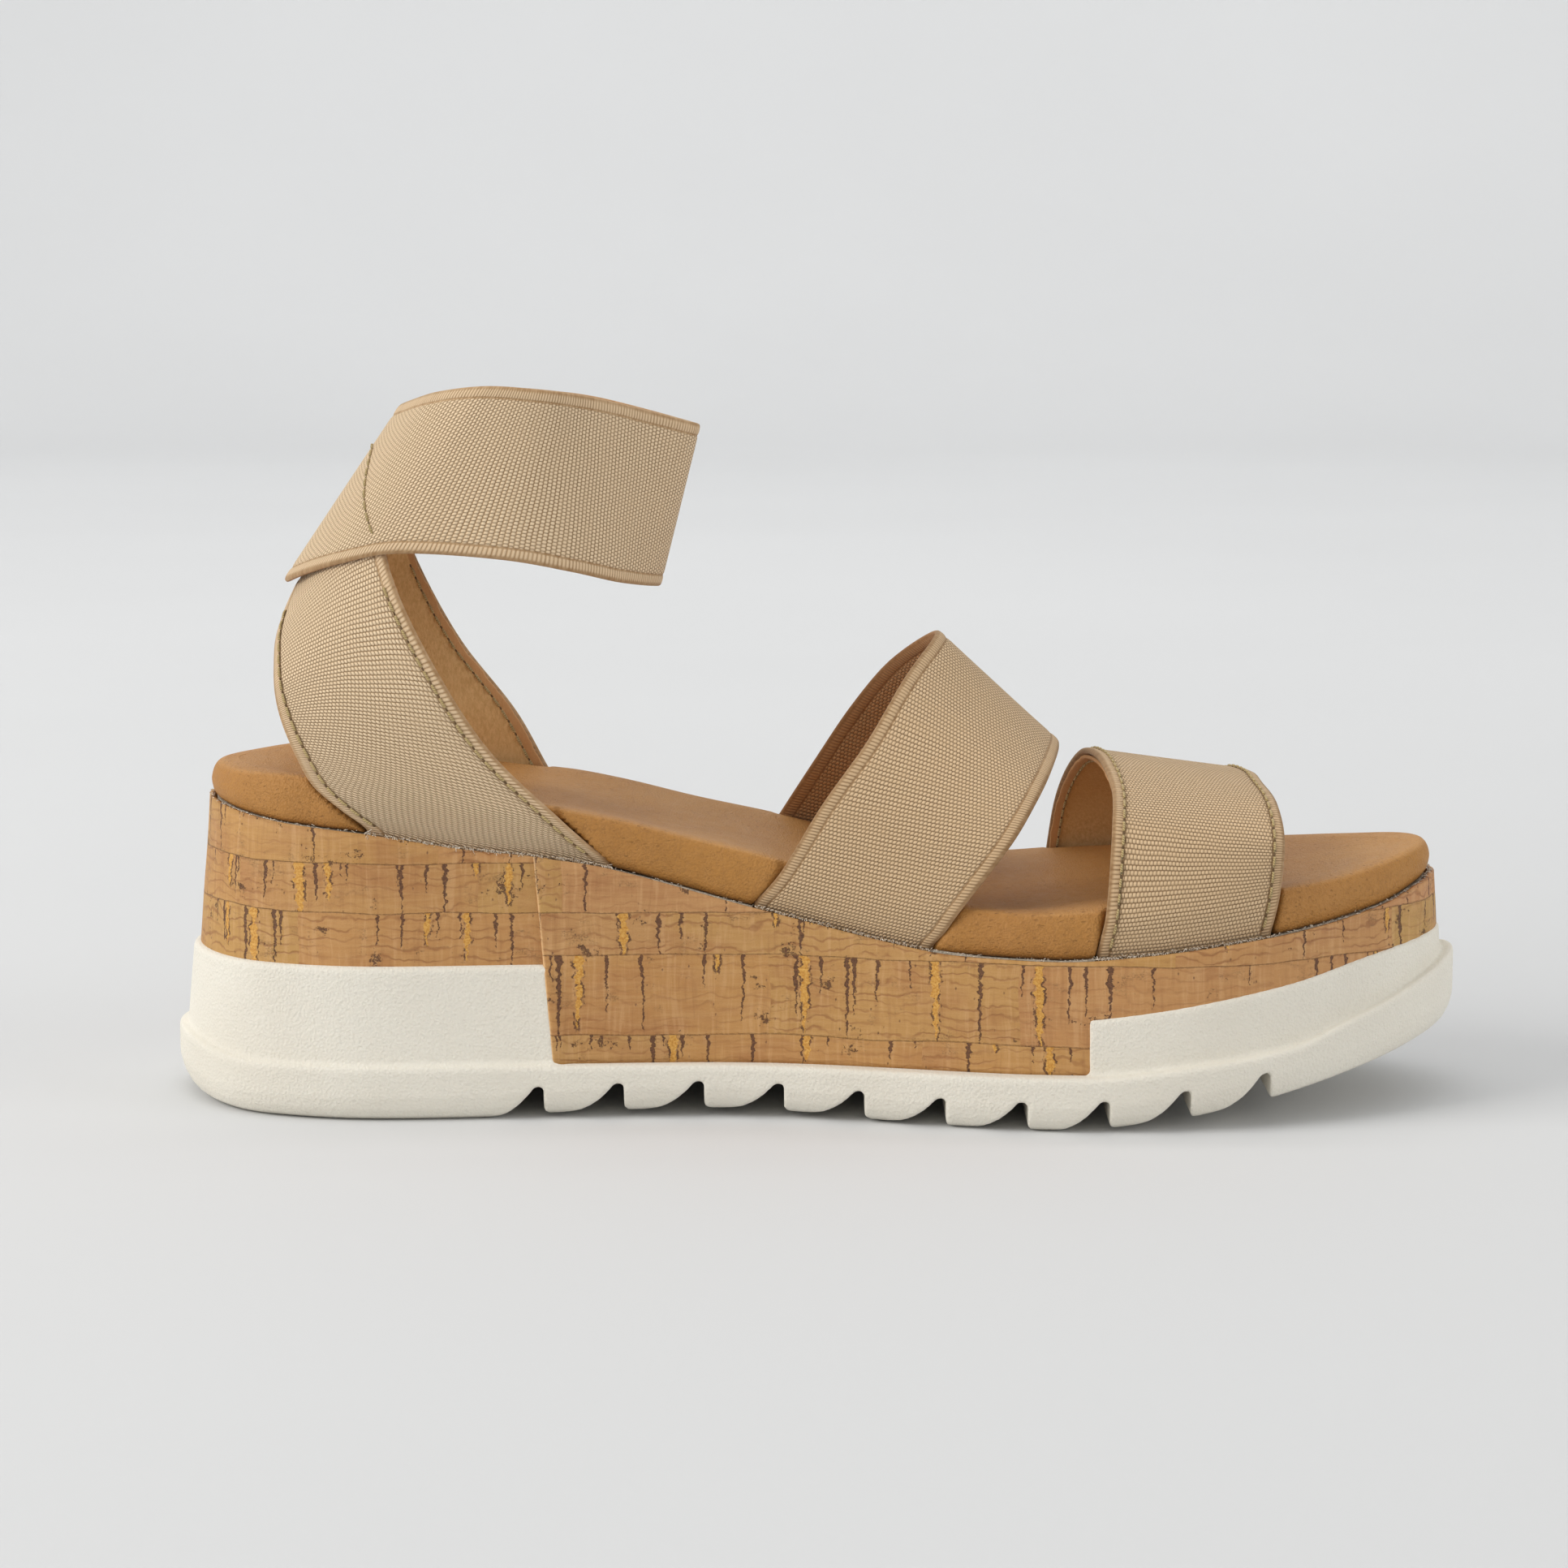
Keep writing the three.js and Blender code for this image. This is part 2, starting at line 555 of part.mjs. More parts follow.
// ---------------------------------------------------------------- the sandal
const FINISH = {
  eva: { color: 0xe9e5dc, roughness: 0.8 },
  core: { color: 0xcfc6b4, roughness: 0.9 },
  cork: { color: 0xb08055, roughness: 0.75 },
  board: { color: 0xa98e66, roughness: 0.9 },
  foam: { color: 0xe3d9b8, roughness: 0.95 },
  leather: { color: 0xc4966a, roughness: 0.55 },
  elastic: { color: 0xd8c3a2, roughness: 0.85 },
  lining: { color: 0xb78c64, roughness: 0.95 },
  thread: { color: 0x94885f, roughness: 0.7 },
};

const sandal = new THREE.Group();

function addPiece(name, finish, solid) {
  const material = new THREE.MeshStandardMaterial({ ...FINISH[finish], metalness: 0 });
  const piece = new THREE.Mesh(toGeometry(solid), material);
  piece.name = name;
  sandal.add(piece);
}

addPiece("outsole", "eva", outsole());
addPiece("wedge_core", "core", wedgeCore());
addPiece("cork_wrap_heel", "cork", corkWrap(-150, CORK_SEAM - GAP / 2));
addPiece("cork_wrap_front", "cork", corkWrap(CORK_SEAM + GAP / 2, 150));
addPiece("insole_board", "board", insoleBoard());
addPiece("footbed_foam", "foam", footbedFoam());
addPiece("footbed_cover", "leather", footbedCover());
addPiece("toe_strap_elastic", "elastic", elasticOf(toeStrap));
addPiece("toe_strap_lining", "lining", liningOf(toeStrap));
addPiece("toe_strap_thread_rear", "thread", stitchRow(toeStrap, 3.4, 14.6, "first"));
addPiece("toe_strap_thread_front", "thread", stitchRow(toeStrap, 3.4, 14.6, "second"));
addPiece("vamp_strap_elastic", "elastic", elasticOf(vampStrap));
addPiece("heel_strap_elastic", "elastic", elasticOf(heelStrap));
addPiece("heel_strap_lining", "lining", liningOf(heelStrap));
addPiece("heel_strap_thread_lower_inner", "thread", stitchRow(heelStrap, 3.4, 10.8, "first"));
addPiece("heel_strap_thread_upper_inner", "thread", stitchRow(heelStrap, 3.4, 8.2, "second"));
addPiece("heel_strap_thread_lower_outer", "thread", stitchRow(heelStrap, 13.2, 20.6, "first"));
addPiece("heel_strap_thread_upper_outer", "thread", stitchRow(heelStrap, 15.8, 20.6, "second"));
addPiece("ankle_band_back", "elastic", bandBack());
addPiece("ankle_band_loop", "elastic", bandLoop());
addPiece("ankle_band_thread", "thread", bandThread());

// The origin is under the middle of the sandal, on the ground.
const bounds = new THREE.Box3().setFromObject(sandal);
const middle = bounds.getCenter(new THREE.Vector3());
sandal.position.set(-middle.x, -middle.y, -bounds.min.z);

export default sandal;
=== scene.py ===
import math
import random
from contextlib import contextmanager
from functools import partialmethod

import bmesh
import bpy
import numpy as np
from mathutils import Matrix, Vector


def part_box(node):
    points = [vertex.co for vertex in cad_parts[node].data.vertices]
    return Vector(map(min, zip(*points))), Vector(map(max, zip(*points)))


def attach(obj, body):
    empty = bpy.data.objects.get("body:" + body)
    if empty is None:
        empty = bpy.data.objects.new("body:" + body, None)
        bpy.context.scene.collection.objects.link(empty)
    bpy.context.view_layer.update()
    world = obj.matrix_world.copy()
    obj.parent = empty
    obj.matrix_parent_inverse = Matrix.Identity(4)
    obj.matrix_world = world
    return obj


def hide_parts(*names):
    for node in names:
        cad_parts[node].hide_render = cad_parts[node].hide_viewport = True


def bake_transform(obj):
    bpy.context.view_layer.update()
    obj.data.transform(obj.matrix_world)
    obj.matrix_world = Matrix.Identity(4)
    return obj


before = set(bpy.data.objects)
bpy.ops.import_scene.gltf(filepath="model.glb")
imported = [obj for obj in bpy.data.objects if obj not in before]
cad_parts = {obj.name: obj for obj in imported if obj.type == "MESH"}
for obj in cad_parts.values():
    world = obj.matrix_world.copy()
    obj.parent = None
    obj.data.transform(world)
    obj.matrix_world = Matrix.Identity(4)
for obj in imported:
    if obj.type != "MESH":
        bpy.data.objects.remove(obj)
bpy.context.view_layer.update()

# Lengths below are millimetres in the sandal's own drawing: +X to the toe, -Y the near (inner)
# side, +Z up. place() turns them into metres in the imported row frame.
MM = 0.001
GAP = 0.3
CUP_WALL = 1.0
HEEL_CUP_TOP = 31.3
HEEL_CUP_FRONT = -56.5
CUP_LAP = 1.9
TOE_CUP_REAR = 54.6
CORK_SEAM = -57.6
SEAM_TOP = 53.4
SEAM_TALL = 42.0
CORK_THICK = 0.9
ELASTIC = 1.4
LINING = 0.8
LINING_GAP = 0.25
LINED = ELASTIC + LINING_GAP + LINING
STITCH_INSET = 2.3
STITCH_PITCH = 3.1
THREAD_RADIUS = 0.28
SELVEDGE = 2.5
STRAP_WIDTH = 35.0
TREAD_PITCH = 16.3
TREAD_DEPTH = 6.2
TREAD_TEETH = 10
TREAD_START = -55.6
TREAD_LEDGE = 0.86
FIRST_HOLLOW = 12.4
TOOTH_FOOT = 3
CUP_SLANT = 0.09
BAND_TOP = -0.6
HINGE = (-84.0, 0.0, 113.0)
BEND_BEHIND = 8
BEND_AHEAD = 12

RNG = random.Random(7)
NOISE = np.random.RandomState(11)


# ------------------------------------------------------------------ curves
def smooth(t):
    """From 0 to 1 with level ends."""
    return t * t * (3 - 2 * t)


def unit(vectors):
    return vectors / np.linalg.norm(vectors, axis=-1, keepdims=True)


def running_length(points):
    """How far along their line each of the points lies."""
    return np.concatenate([[0], np.cumsum(np.linalg.norm(np.diff(points, axis=0), axis=1))])


def profile(points):
    """A smooth curve z(x) through the points, level beyond its ends."""
    px, pz = (np.array(column, float) for column in zip(*points))
    before = np.maximum(np.arange(len(px)) - 1, 0)
    after = np.minimum(np.arange(len(px)) + 1, len(px) - 1)
    slope = (pz[after] - pz[before]) / (px[after] - px[before])

    def height(x):
        x = np.asarray(x, float)
        i = np.clip(np.searchsorted(px, x, side="left") - 1, 0, len(px) - 2)
        span = px[i + 1] - px[i]
        t = np.clip((x - px[i]) / span, 0, 1)
        tangents = t * (1 - t) * ((1 - t) * slope[i] - t * slope[i + 1])
        return pz[i] + (pz[i + 1] - pz[i]) * smooth(t) + span * tangents

    return height


def catmull(points, closed, at):
    """Points of a centripetal Catmull-Rom curve at the fractions at of its control points."""
    p = np.asarray(points, float)
    count = len(p) if closed else len(p) - 1
    s = np.asarray(at, float) * count
    i = np.floor(s).astype(int)
    if closed:
        f = s - i
        a, b, c, d = (p[(i + k) % len(p)] for k in (-1, 0, 1, 2))
    else:
        i = np.clip(i, 0, count - 1)
        f = s - i
        ends = np.vstack([2 * p[:1] - p[1:2], p, 2 * p[-1:] - p[-2:-1]])
        a, b, c, d = (ends[i + k] for k in range(4))
    f = f[:, None]
    d0, d1, d2 = (np.sqrt(np.linalg.norm(chord, axis=1))[:, None] for chord in (b - a, c - b, d - c))
    m0 = ((b - a) / d0 - (c - a) / (d0 + d1) + (c - b) / d1) * d1
    m1 = ((c - b) / d1 - (d - b) / (d1 + d2) + (d - c) / d2) * d1
    return b + m0 * f + (3 * (c - b) - 2 * m0 - m1) * f**2 + (2 * (b - c) + m0 + m1) * f**3


# ------------------------------------------------------------------ the drawing
NEAR_SIDE = [(-126.4, 0), (-117.5, -21.5), (-98, -31), (-55, -30), (-10, -29.5), (45, -42.5),
             (70, -43.5), (91, -39), (106, -31.5), (118.5, -21.5), (126, -11), (128.5, -2)]
FAR_SIDE = [(126.5, 7), (118.5, 18.5), (103, 30.5), (80, 38.5), (45, 43.5), (25, 43),
            (-15, 36), (-55, 32), (-98, 31), (-117.5, 21.5)]
pad_line = profile([(-127, 62.5), (-109, 60), (-91.4, 58.2), (-71, 54.9), (-57.6, 53.4), (-43, 51.1),
                    (-12.4, 42.7), (21.4, 35.4), (39, 34.3), (55, 34.4), (91, 38.3), (115, 42.3),
                    (128.5, 46.3)])
pad_depth = profile([(-127, 6.7), (-109, 9.2), (-91, 9.8), (-55, 10.2), (-43, 9.6), (-12, 10.5),
                     (21, 9.7), (39, 8.9), (55, 9.7), (95, 8.8), (128.5, 7.4)])
dish_depth = profile([(-127, 0.5), (-100, 2.6), (-40, 1.6), (20, 1.2), (80, 1.5), (128, 0.2)])
sole_bottom = profile([(-134.4, 3), (-127, 0.9), (-118, 0), (-108, 0), (-66, 0), (-58, 0.6),
                       (-40, 1.2), (-17, 1.5), (20, 0), (28, 0), (44, 0), (52, 0), (63, 1.1),
                       (76, 2.7), (91.5, 5.5), (110.5, 9.7), (121, 12.3), (134.4, 15.8)])
step_line = profile([(-134, 14.5), (-120, 11.8), (-110, 11.4), (54.6, 11.3), (72, 12.9), (95.6, 16.2),
                     (107.5, 20.4), (116, 23.2), (123.5, 26.1), (134.4, 30.6)])
floor_line = profile([(-134, 11.3), (56, 11.3), (76, 12.6), (95, 15.4), (110, 18.6), (121, 21.6),
                      (134.4, 25.5)])
toe_cup_top = profile([(54.6, 22.5), (75.6, 25.4), (96, 28.9), (111.5, 32.4), (130, 35), (134.4, 35.6)])
cork_draft = profile([(-127, 0.085), (40, 0.08), (100, 0.055), (128, 0.05)])
base_reach = profile([(-127, 8), (-60, 7.3), (40, 7), (90, 5.9), (128, 5.7)])


def outline(reach):
    """Both sides of the footbed outline moved outwards by reach(x): (x, y) lists, heel to toe."""
    at = np.arange(1440) / 1440
    points = catmull(NEAR_SIDE + FAR_SIDE, True, at)
    tangent = unit(np.roll(points, -1, 0) - np.roll(points, 1, 0))
    move = reach(points[:, 0])
    x = points[:, 0] + tangent[:, 1] * move
    y = points[:, 1] - tangent[:, 0] * move
    heel, toe = int(np.argmin(x)), int(np.argmax(x))
    ring = np.stack([x, y], 1)
    near = np.roll(ring, -heel, 0)[: (toe - heel) % len(x) + 1]
    far = np.roll(ring, -toe, 0)[: (heel - toe) % len(x) + 1][::-1]
    return near, far


def side_y(side, x):
    return np.interp(x, side[:, 0], side[:, 1])


def level(value):
    return lambda x: np.full(np.shape(x), float(value))


def raised(line, extra):
    return lambda x: line(x) + extra


def cork_reach(height, extra=0.0):
    """How far the cork's face stands outside the footbed outline at height(x)."""
    return lambda x: 0.65 + (pad_line(x) - height(x)) * cork_draft(x) + extra


def origin_shift():
    """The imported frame's origin in the drawing, from three nodes whose own edges are known."""
    cork_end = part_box("cork_wrap_heel")[1].x
    loop_low, loop_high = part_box("ankle_band_loop")
    strap_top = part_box("heel_strap_elastic")[1].z
    return np.array([cork_end - (CORK_SEAM - GAP / 2) * MM,
                     (loop_low.y + loop_high.y) / 2,
                     strap_top - 137.0 * MM])


SHIFT = origin_shift()


def place(points):
    return np.asarray(points, float) * MM + SHIFT


# ------------------------------------------------------------------ meshes
def new_object(name, vertices, faces, uvs=None, material=None, smooth=True):
    mesh = bpy.data.meshes.new(name)
    mesh.from_pydata([tuple(v) for v in vertices], [], faces)
    if uvs is not None:
        layer = mesh.uv_layers.new(name="UVMap")
        index = np.empty(len(mesh.loops), np.int32)
        mesh.loops.foreach_get("vertex_index", index)
        layer.data.foreach_set("uv", np.asarray(uvs, np.float32)[index].ravel())
    mesh.validate()
    for polygon in mesh.polygons:
        polygon.use_smooth = smooth
    obj = bpy.data.objects.new(name, mesh)
    bpy.context.scene.collection.objects.link(obj)
    if material is not None:
        mesh.materials.append(material)
    return obj


def grid_faces(rows, columns, wrap_columns=False):
    faces = []
    for start in range(0, (rows - 1) * columns, columns):
        for c in range(columns if wrap_columns else columns - 1):
            c2 = (c + 1) % columns
            faces.append((start + c, start + c2, start + columns + c2, start + columns + c))
    return faces


@contextmanager
def editing(obj):
    """The object's mesh as a bmesh. It is put back with its faces turned outwards."""
    bm = bmesh.new()
    bm.from_mesh(obj.data)
    yield bm
    bmesh.ops.recalc_face_normals(bm, faces=bm.faces)
    bm.to_mesh(obj.data)
    bm.free()


def welded(obj):
    with editing(obj) as bm:
        bmesh.ops.remove_doubles(bm, verts=bm.verts, dist=1e-7)
    return obj


def apply_modifiers(obj):
    graph = bpy.context.evaluated_depsgraph_get()
    mesh = bpy.data.meshes.new_from_object(obj.evaluated_get(graph))
    old = obj.data
    obj.modifiers.clear()
    obj.data = mesh
    bpy.data.meshes.remove(old)
    return obj


def modifier(obj, kind, **settings):
    made = obj.modifiers.new(kind.title(), kind)
    for key, value in settings.items():
        setattr(made, key, value)
    return made


def join(name, objects):
    """One object from several."""
    target = objects[0]
    with bpy.context.temp_override(active_object=target, selected_editable_objects=objects,
                                   selected_objects=objects, object=target):
        bpy.ops.object.join()
    target.name = name
    target.data.name = name
    return target


def put_on(obj, body, slot, *nodes):
    """Makes the object ride on the body, in place of the CAD nodes if there are any."""
    if nodes:
        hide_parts(*nodes)
    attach(obj, body)


# A rung of the ladder is a station along the sandal, close together at the heel and the toe.
RUNGS = 220


def ladder(reach):
    near, far = outline(reach)
    x0, x1 = near[0, 0], near[-1, 0]
    x = (x0 + x1) / 2 - (x1 - x0) / 2 * np.cos(np.pi * np.arange(RUNGS + 1) / RUNGS)
    y_near, y_far = side_y(near, x), side_y(far, x)
    y_far[0], y_far[-1] = y_near[0], y_near[-1]
    return x, y_near, y_far


def loft(name, levels, top_columns=6, crown=None):
    """A closed solid from outline levels, bottom to top: each is (reach(x), height(x))."""
    vertices = []
    for reach, height in levels:
        x, near, far = ladder(reach)
        ring = np.concatenate([np.stack([x, near, height(x)], 1),
                               np.stack([x, far, height(x)], 1)[1:-1][::-1]])
        vertices.append(ring)
    size = len(vertices[0])
    faces = grid_faces(len(levels), size, wrap_columns=True)
    count = size * len(levels)

    def cap(ring_start, reach, height, bowl):
        nonlocal count
        x, near, far = ladder(reach)
        rows = []
        for k in range(RUNGS + 1):
            left = ring_start + k
            right = ring_start + (size - k) % size
            if k in (0, RUNGS):
                rows.append([left] * (top_columns + 2))
                continue
            across = np.arange(1, top_columns + 1) / (top_columns + 1)
            y = near[k] + (far[k] - near[k]) * across
            z = height(x[k]) + (crown(x[k], across) if bowl else 0.0 * across)
            vertices.append(np.stack([np.full(top_columns, x[k]), y, z], 1))
            rows.append([left, *range(count, count + top_columns), right])
            count += top_columns
        for a, b in zip(rows, rows[1:]):
            for c in range(top_columns + 1):
                quad = [a[c], b[c], b[c + 1], a[c + 1]]
                quad = [v for i, v in enumerate(quad) if v not in quad[:i]]
                if len(quad) > 2:
                    faces.append(tuple(quad))

    cap(0, *levels[0], False)
    cap(size * (len(levels) - 1), *levels[-1], crown is not None)
    return welded(new_object(name, place(np.concatenate(vertices)), faces))


# ------------------------------------------------------------------ shader helpers
def forwards(operation):
    return lambda value, other: value.nodes.math(operation, value, other)


def backwards(operation):
    return lambda value, other: value.nodes.math(operation, other, value)


class Value:
    """A node's output that takes part in ordinary arithmetic, with a math node for each step."""

    def __init__(self, nodes, socket):
        self.nodes = nodes
        self.socket = socket

    def __abs__(self):
        return self.nodes.math("ABSOLUTE", self)

    __add__ = forwards("ADD")
    __radd__ = backwards("ADD")
    __sub__ = forwards("SUBTRACT")
    __rsub__ = backwards("SUBTRACT")
    __mul__ = forwards("MULTIPLY")
    __truediv__ = forwards("DIVIDE")
    __pow__ = forwards("POWER")


class Nodes:
    """A short way to write a material's node tree."""

    def __init__(self, name):
        self.material = bpy.data.materials.new(name)
        self.material.use_nodes = True
        self.tree = self.material.node_tree
        self.shader = self.tree.nodes["Principled BSDF"]

    def add(self, kind, inputs=None, output=0, **settings):
        node = self.tree.nodes.new(kind)
        for key, value in settings.items():
            setattr(node, key, value)
        for key, value in (inputs or {}).items():
            self.put(node.inputs[key], value)
        return Value(self, node.outputs[output])

    def put(self, socket, value):
        if isinstance(value, Value):
            self.tree.links.new(value.socket, socket)
        else:
            socket.default_value = value

    def math(self, operation, a, b=0.0, clamp=False):
        return self.add("ShaderNodeMath", {0: a, 1: b}, operation=operation, use_clamp=clamp)

    floor = partialmethod(math, "FLOOR")
    fract = partialmethod(math, "FRACT")
    sine = partialmethod(math, "SINE")
    larger = partialmethod(math, "MAXIMUM")
    smaller = partialmethod(math, "MINIMUM")

    def remap(self, value, low, high, first=0.0, last=1.0, way="LINEAR"):
        """From first to last as the value goes from low to high, and no further."""
        inputs = {0: value, 1: low, 2: high, 3: first, 4: last}
        return self.add("ShaderNodeMapRange", inputs, interpolation_type=way)

    ramp = partialmethod(remap, way="SMOOTHSTEP")

    def mix(self, factor, a, b):
        return self.add("ShaderNodeMix", {0: factor, 6: a, 7: b}, 2, data_type="RGBA")

    def tint(self, color, mask, amount, srgb):
        """The colour moved towards srgb, by the amount where the mask is 1."""
        return self.mix(mask * amount, color, rgb(*srgb))

    def noise(self, vector, scale, detail=2.0, roughness=0.5, output=0):
        return self.add("ShaderNodeTexNoise", {"Vector": vector, "Scale": scale, "Detail": detail,
                                               "Roughness": roughness}, output)

    def drawn(self, u, v, scale, place_id, detail, roughness=0.5):
        """Noise drawn out along a sheet or across it, another piece of it for each place_id."""
        return self.noise(self.vector(u * scale[0], v * scale[1], place_id), 1.0, detail, roughness)

    def voronoi(self, vector, scale):
        return self.add("ShaderNodeTexVoronoi", {"Vector": vector, "Scale": scale})

    def scaled(self, vector, scale):
        return self.add("ShaderNodeVectorMath", {0: vector, 1: scale}, operation="MULTIPLY")

    def shifted(self, vector, amount):
        return self.add("ShaderNodeVectorMath", {0: vector, 1: amount}, operation="ADD")

    def warped(self, vector, scale, amount):
        """The vector moved about by noise, up to half the amount each way."""
        centred = self.shifted(self.noise(vector, scale, 1.0, output=1), (-0.5, -0.5, -0.5))
        return self.shifted(vector, self.scaled(centred, amount))

    def split(self, vector):
        node = self.tree.nodes.new("ShaderNodeSeparateXYZ")
        self.put(node.inputs[0], vector)
        return [Value(self, output) for output in node.outputs]

    def vector(self, x, y, z=0.0):
        return self.add("ShaderNodeCombineXYZ", {0: x, 1: y, 2: z})

    def uv(self):
        return self.add("ShaderNodeUVMap", uv_map="UVMap")

    def position(self):
        """The place on the piece in millimetres."""
        return self.scaled(self.add("ShaderNodeTexCoord", output=3), (1000.0, 1000.0, 1000.0))

    def bump(self, height, distance):
        return self.add("ShaderNodeBump", {"Strength": 1.0, "Distance": distance * MM, "Height": height})

    def finish(self, color, roughness, normal, **sockets):
        self.put(self.shader.inputs["Base Color"], color)
        self.put(self.shader.inputs["Roughness"], roughness)
        self.put(self.shader.inputs["Normal"], normal)
        for key, value in sockets.items():
            self.put(self.shader.inputs[key.replace("_", " ")], value)
        return self.material


def rgb(*srgb):
    """A colour from 0 to 255 display values."""
    shares = [value / 255 for value in srgb]
    linear = [c / 12.92 if c <= 0.04045 else ((c + 0.055) / 1.055) ** 2.4 for c in shares]
    return (*linear, 1.0)


# ------------------------------------------------------------------ materials
def eva_material():
    n = Nodes("white_eva")
    p = n.position()
    grain = n.voronoi(p, 1.5)
    fine = n.noise(p, 2.6, 4.0, 0.7)
    broad = n.noise(p, 0.035, 3.0)
    height = grain * 0.7 + fine
    pits = n.ramp(n.noise(p, 0.9, 3.0, 0.6), 0.64, 0.72)
    color = n.mix(n.ramp(broad, 0.3, 0.75), rgb(240, 235, 222), rgb(234, 228, 214))
    color = n.tint(color, n.ramp(fine, 0.35, 0.7), 0.25, (226, 220, 209))
    color = n.tint(color, pits, 0.35, (214, 205, 190))
    rough = n.remap(fine, 0.3, 0.7, 0.62, 0.8)
    return n.finish(color, rough, n.bump(height, 0.22), Subsurface_Weight=0.08,
                    Subsurface_Radius=(0.004, 0.0035, 0.003), Specular_IOR_Level=0.35)


HEEL_SHEET_ROWS = (29.0, 42.0, 52.0, 63.5)
FRONT_SHEET_ROWS = (10.5, 16.8, 33.2, 41.8, 57.0)
# Where both sheets' UV maps have the near seam, along the sandal.
UV_START = 300.0
# A strip is pieced together from blocks of cork, each with its own tone and growth lines.
BLOCK_LENGTH = 52.0
GROWTH_PITCH = 2.1


def cork_material(name, rows, seed, cut_edge_highlight=False):
    """Cork sheet. The UV map is (along, up) in millimetres; rows are the heights where one strip
    of cork ends and the next begins."""
    n = Nodes(name)
    uv = n.uv()
    u, v, _ = n.split(n.warped(uv, 0.06, (2.2, 0.9, 0.0)))
    wander = n.noise(n.vector(u * 0.05, seed), 1.0, 2.0)
    tilted = wander * 1.6 + (v - 0.8)
    row = 0.0
    for low, high in zip(rows, rows[1:]):
        row = row + n.remap(tilted, low, high, 0.0, 0.9999)
    row_id = n.floor(row + 0.0005)
    part = n.fract(row)
    key = row_id * 5.37 + seed

    def chance(cell, more=0.0):
        """Three random numbers for a cell of this row."""
        place_id = {"Vector": n.vector(cell, key, more)}
        return n.split(n.add("ShaderNodeTexWhiteNoise", place_id, 1, noise_dimensions="3D"))

    start = chance(0.5)[0]
    column = start * 9.0 + u / BLOCK_LENGTH
    column_id = n.floor(column)
    tone_a, tone_b, tone_c = chance(column_id, 2.0)
    run = tone_a * 31.0
    ragged = n.noise(uv, 1.3, 3.0, 0.7)
    row_edge = abs(part - 0.5)
    row_seam = n.ramp(ragged * 0.045 + row_edge, 0.505, 0.53)

    # growth lines: fine wavy lines along the strip, stronger in some strips than in others
    bend = n.drawn(u, v, (0.13, 0.16), run, 3.0, 0.55)
    grown = bend * 6.0 + v
    saw = abs(n.fract(grown / GROWTH_PITCH) - 0.5)
    fade = n.drawn(u, v, (0.06, 0.4), run, 2.0)
    lines = n.ramp(saw, 0.3, 0.5) * n.ramp(fade, 0.3, 0.6)
    lines = lines * (tone_b * 0.7 + 0.35)

    fibre = n.drawn(u, v, (0.12, 1.3), run, 5.0, 0.65)
    speck = n.noise(uv, 2.4, 3.0, 0.7)
    crumb = n.noise(uv, 1.1, 4.0, 0.75)
    broad = n.drawn(u, v, (0.05, 0.09), run, 3.0, 0.6)

    color = n.mix(tone_a, rgb(184, 145, 82), rgb(188, 134, 92))
    color = n.tint(color, tone_c, 0.6, (190, 138, 76))
    color = n.tint(color, n.ramp(broad, 0.42, 0.7), 0.6, (166, 112, 68))
    color = n.tint(color, n.ramp(fibre, 0.40, 0.66), 0.34, (204, 160, 106))
    color = n.tint(color, n.ramp(speck, 0.56, 0.74), 0.3, (158, 106, 62))
    streak = n.drawn(u, v, (0.9, 0.07), run, 3.0, 0.6)
    color = n.tint(color, n.ramp(streak, 0.5, 0.68), 0.3, (216, 172, 122))
    color = n.tint(color, n.ramp(streak, 0.46, 0.3), 0.25, (150, 100, 60))
    color = n.tint(color, lines, 0.62, (140, 88, 48))
    smudge = n.ramp(n.drawn(u, v, (0.11, 0.2), run, 6.0, 0.72), 0.56, 0.68)
    smudge = smudge * n.ramp(speck, 0.40, 0.60)
    color = n.tint(color, smudge, 0.62, (112, 82, 50))

    def slits(pitch, keep, width, longest, more, sharp=1.0):
        """Upright slits that hang from the top of their strip: how far across one a point is, in
        widths, and whether it is within its length. A sharp of 1 tapers it all the way down."""
        along = start * (40.0 + more) + u / pitch
        cell = n.floor(along)
        spot, size, pick = chance(cell, more)
        wobble = n.noise(n.vector(v * 0.55, cell, more), 1.0, 3.0, 0.6)
        middle = spot * 0.5 + 0.25
        off = (n.fract(along) - middle) * pitch
        off = abs((wobble - 0.5) * 2.2 + off)
        reach = size * longest + 0.25
        from_top = 1.0 - part
        within = 1.0 - n.ramp(from_top / reach, 0.93, 1.0)
        swell = n.noise(n.vector(v * 0.42, cell, more + 5.0), 1.0, 3.0, 0.6)
        wide = (swell * 3.4 - 0.95) * width
        wide = wide * (size * 0.9 + 0.5)
        taper = n.math("SUBTRACT", 1.0, from_top / reach, clamp=True)
        wide = wide * n.smaller(taper * sharp, 1.0)
        wide = n.larger(wide, width * 0.12)
        here = within * n.math("GREATER_THAN", pick, 1.0 - keep)
        return (crumb - 0.5) * 1.3 + off, wide, here

    def filled(off, wide, here, extra=0.0):
        return n.ramp(wide + extra - off, -0.06, 0.1) * here

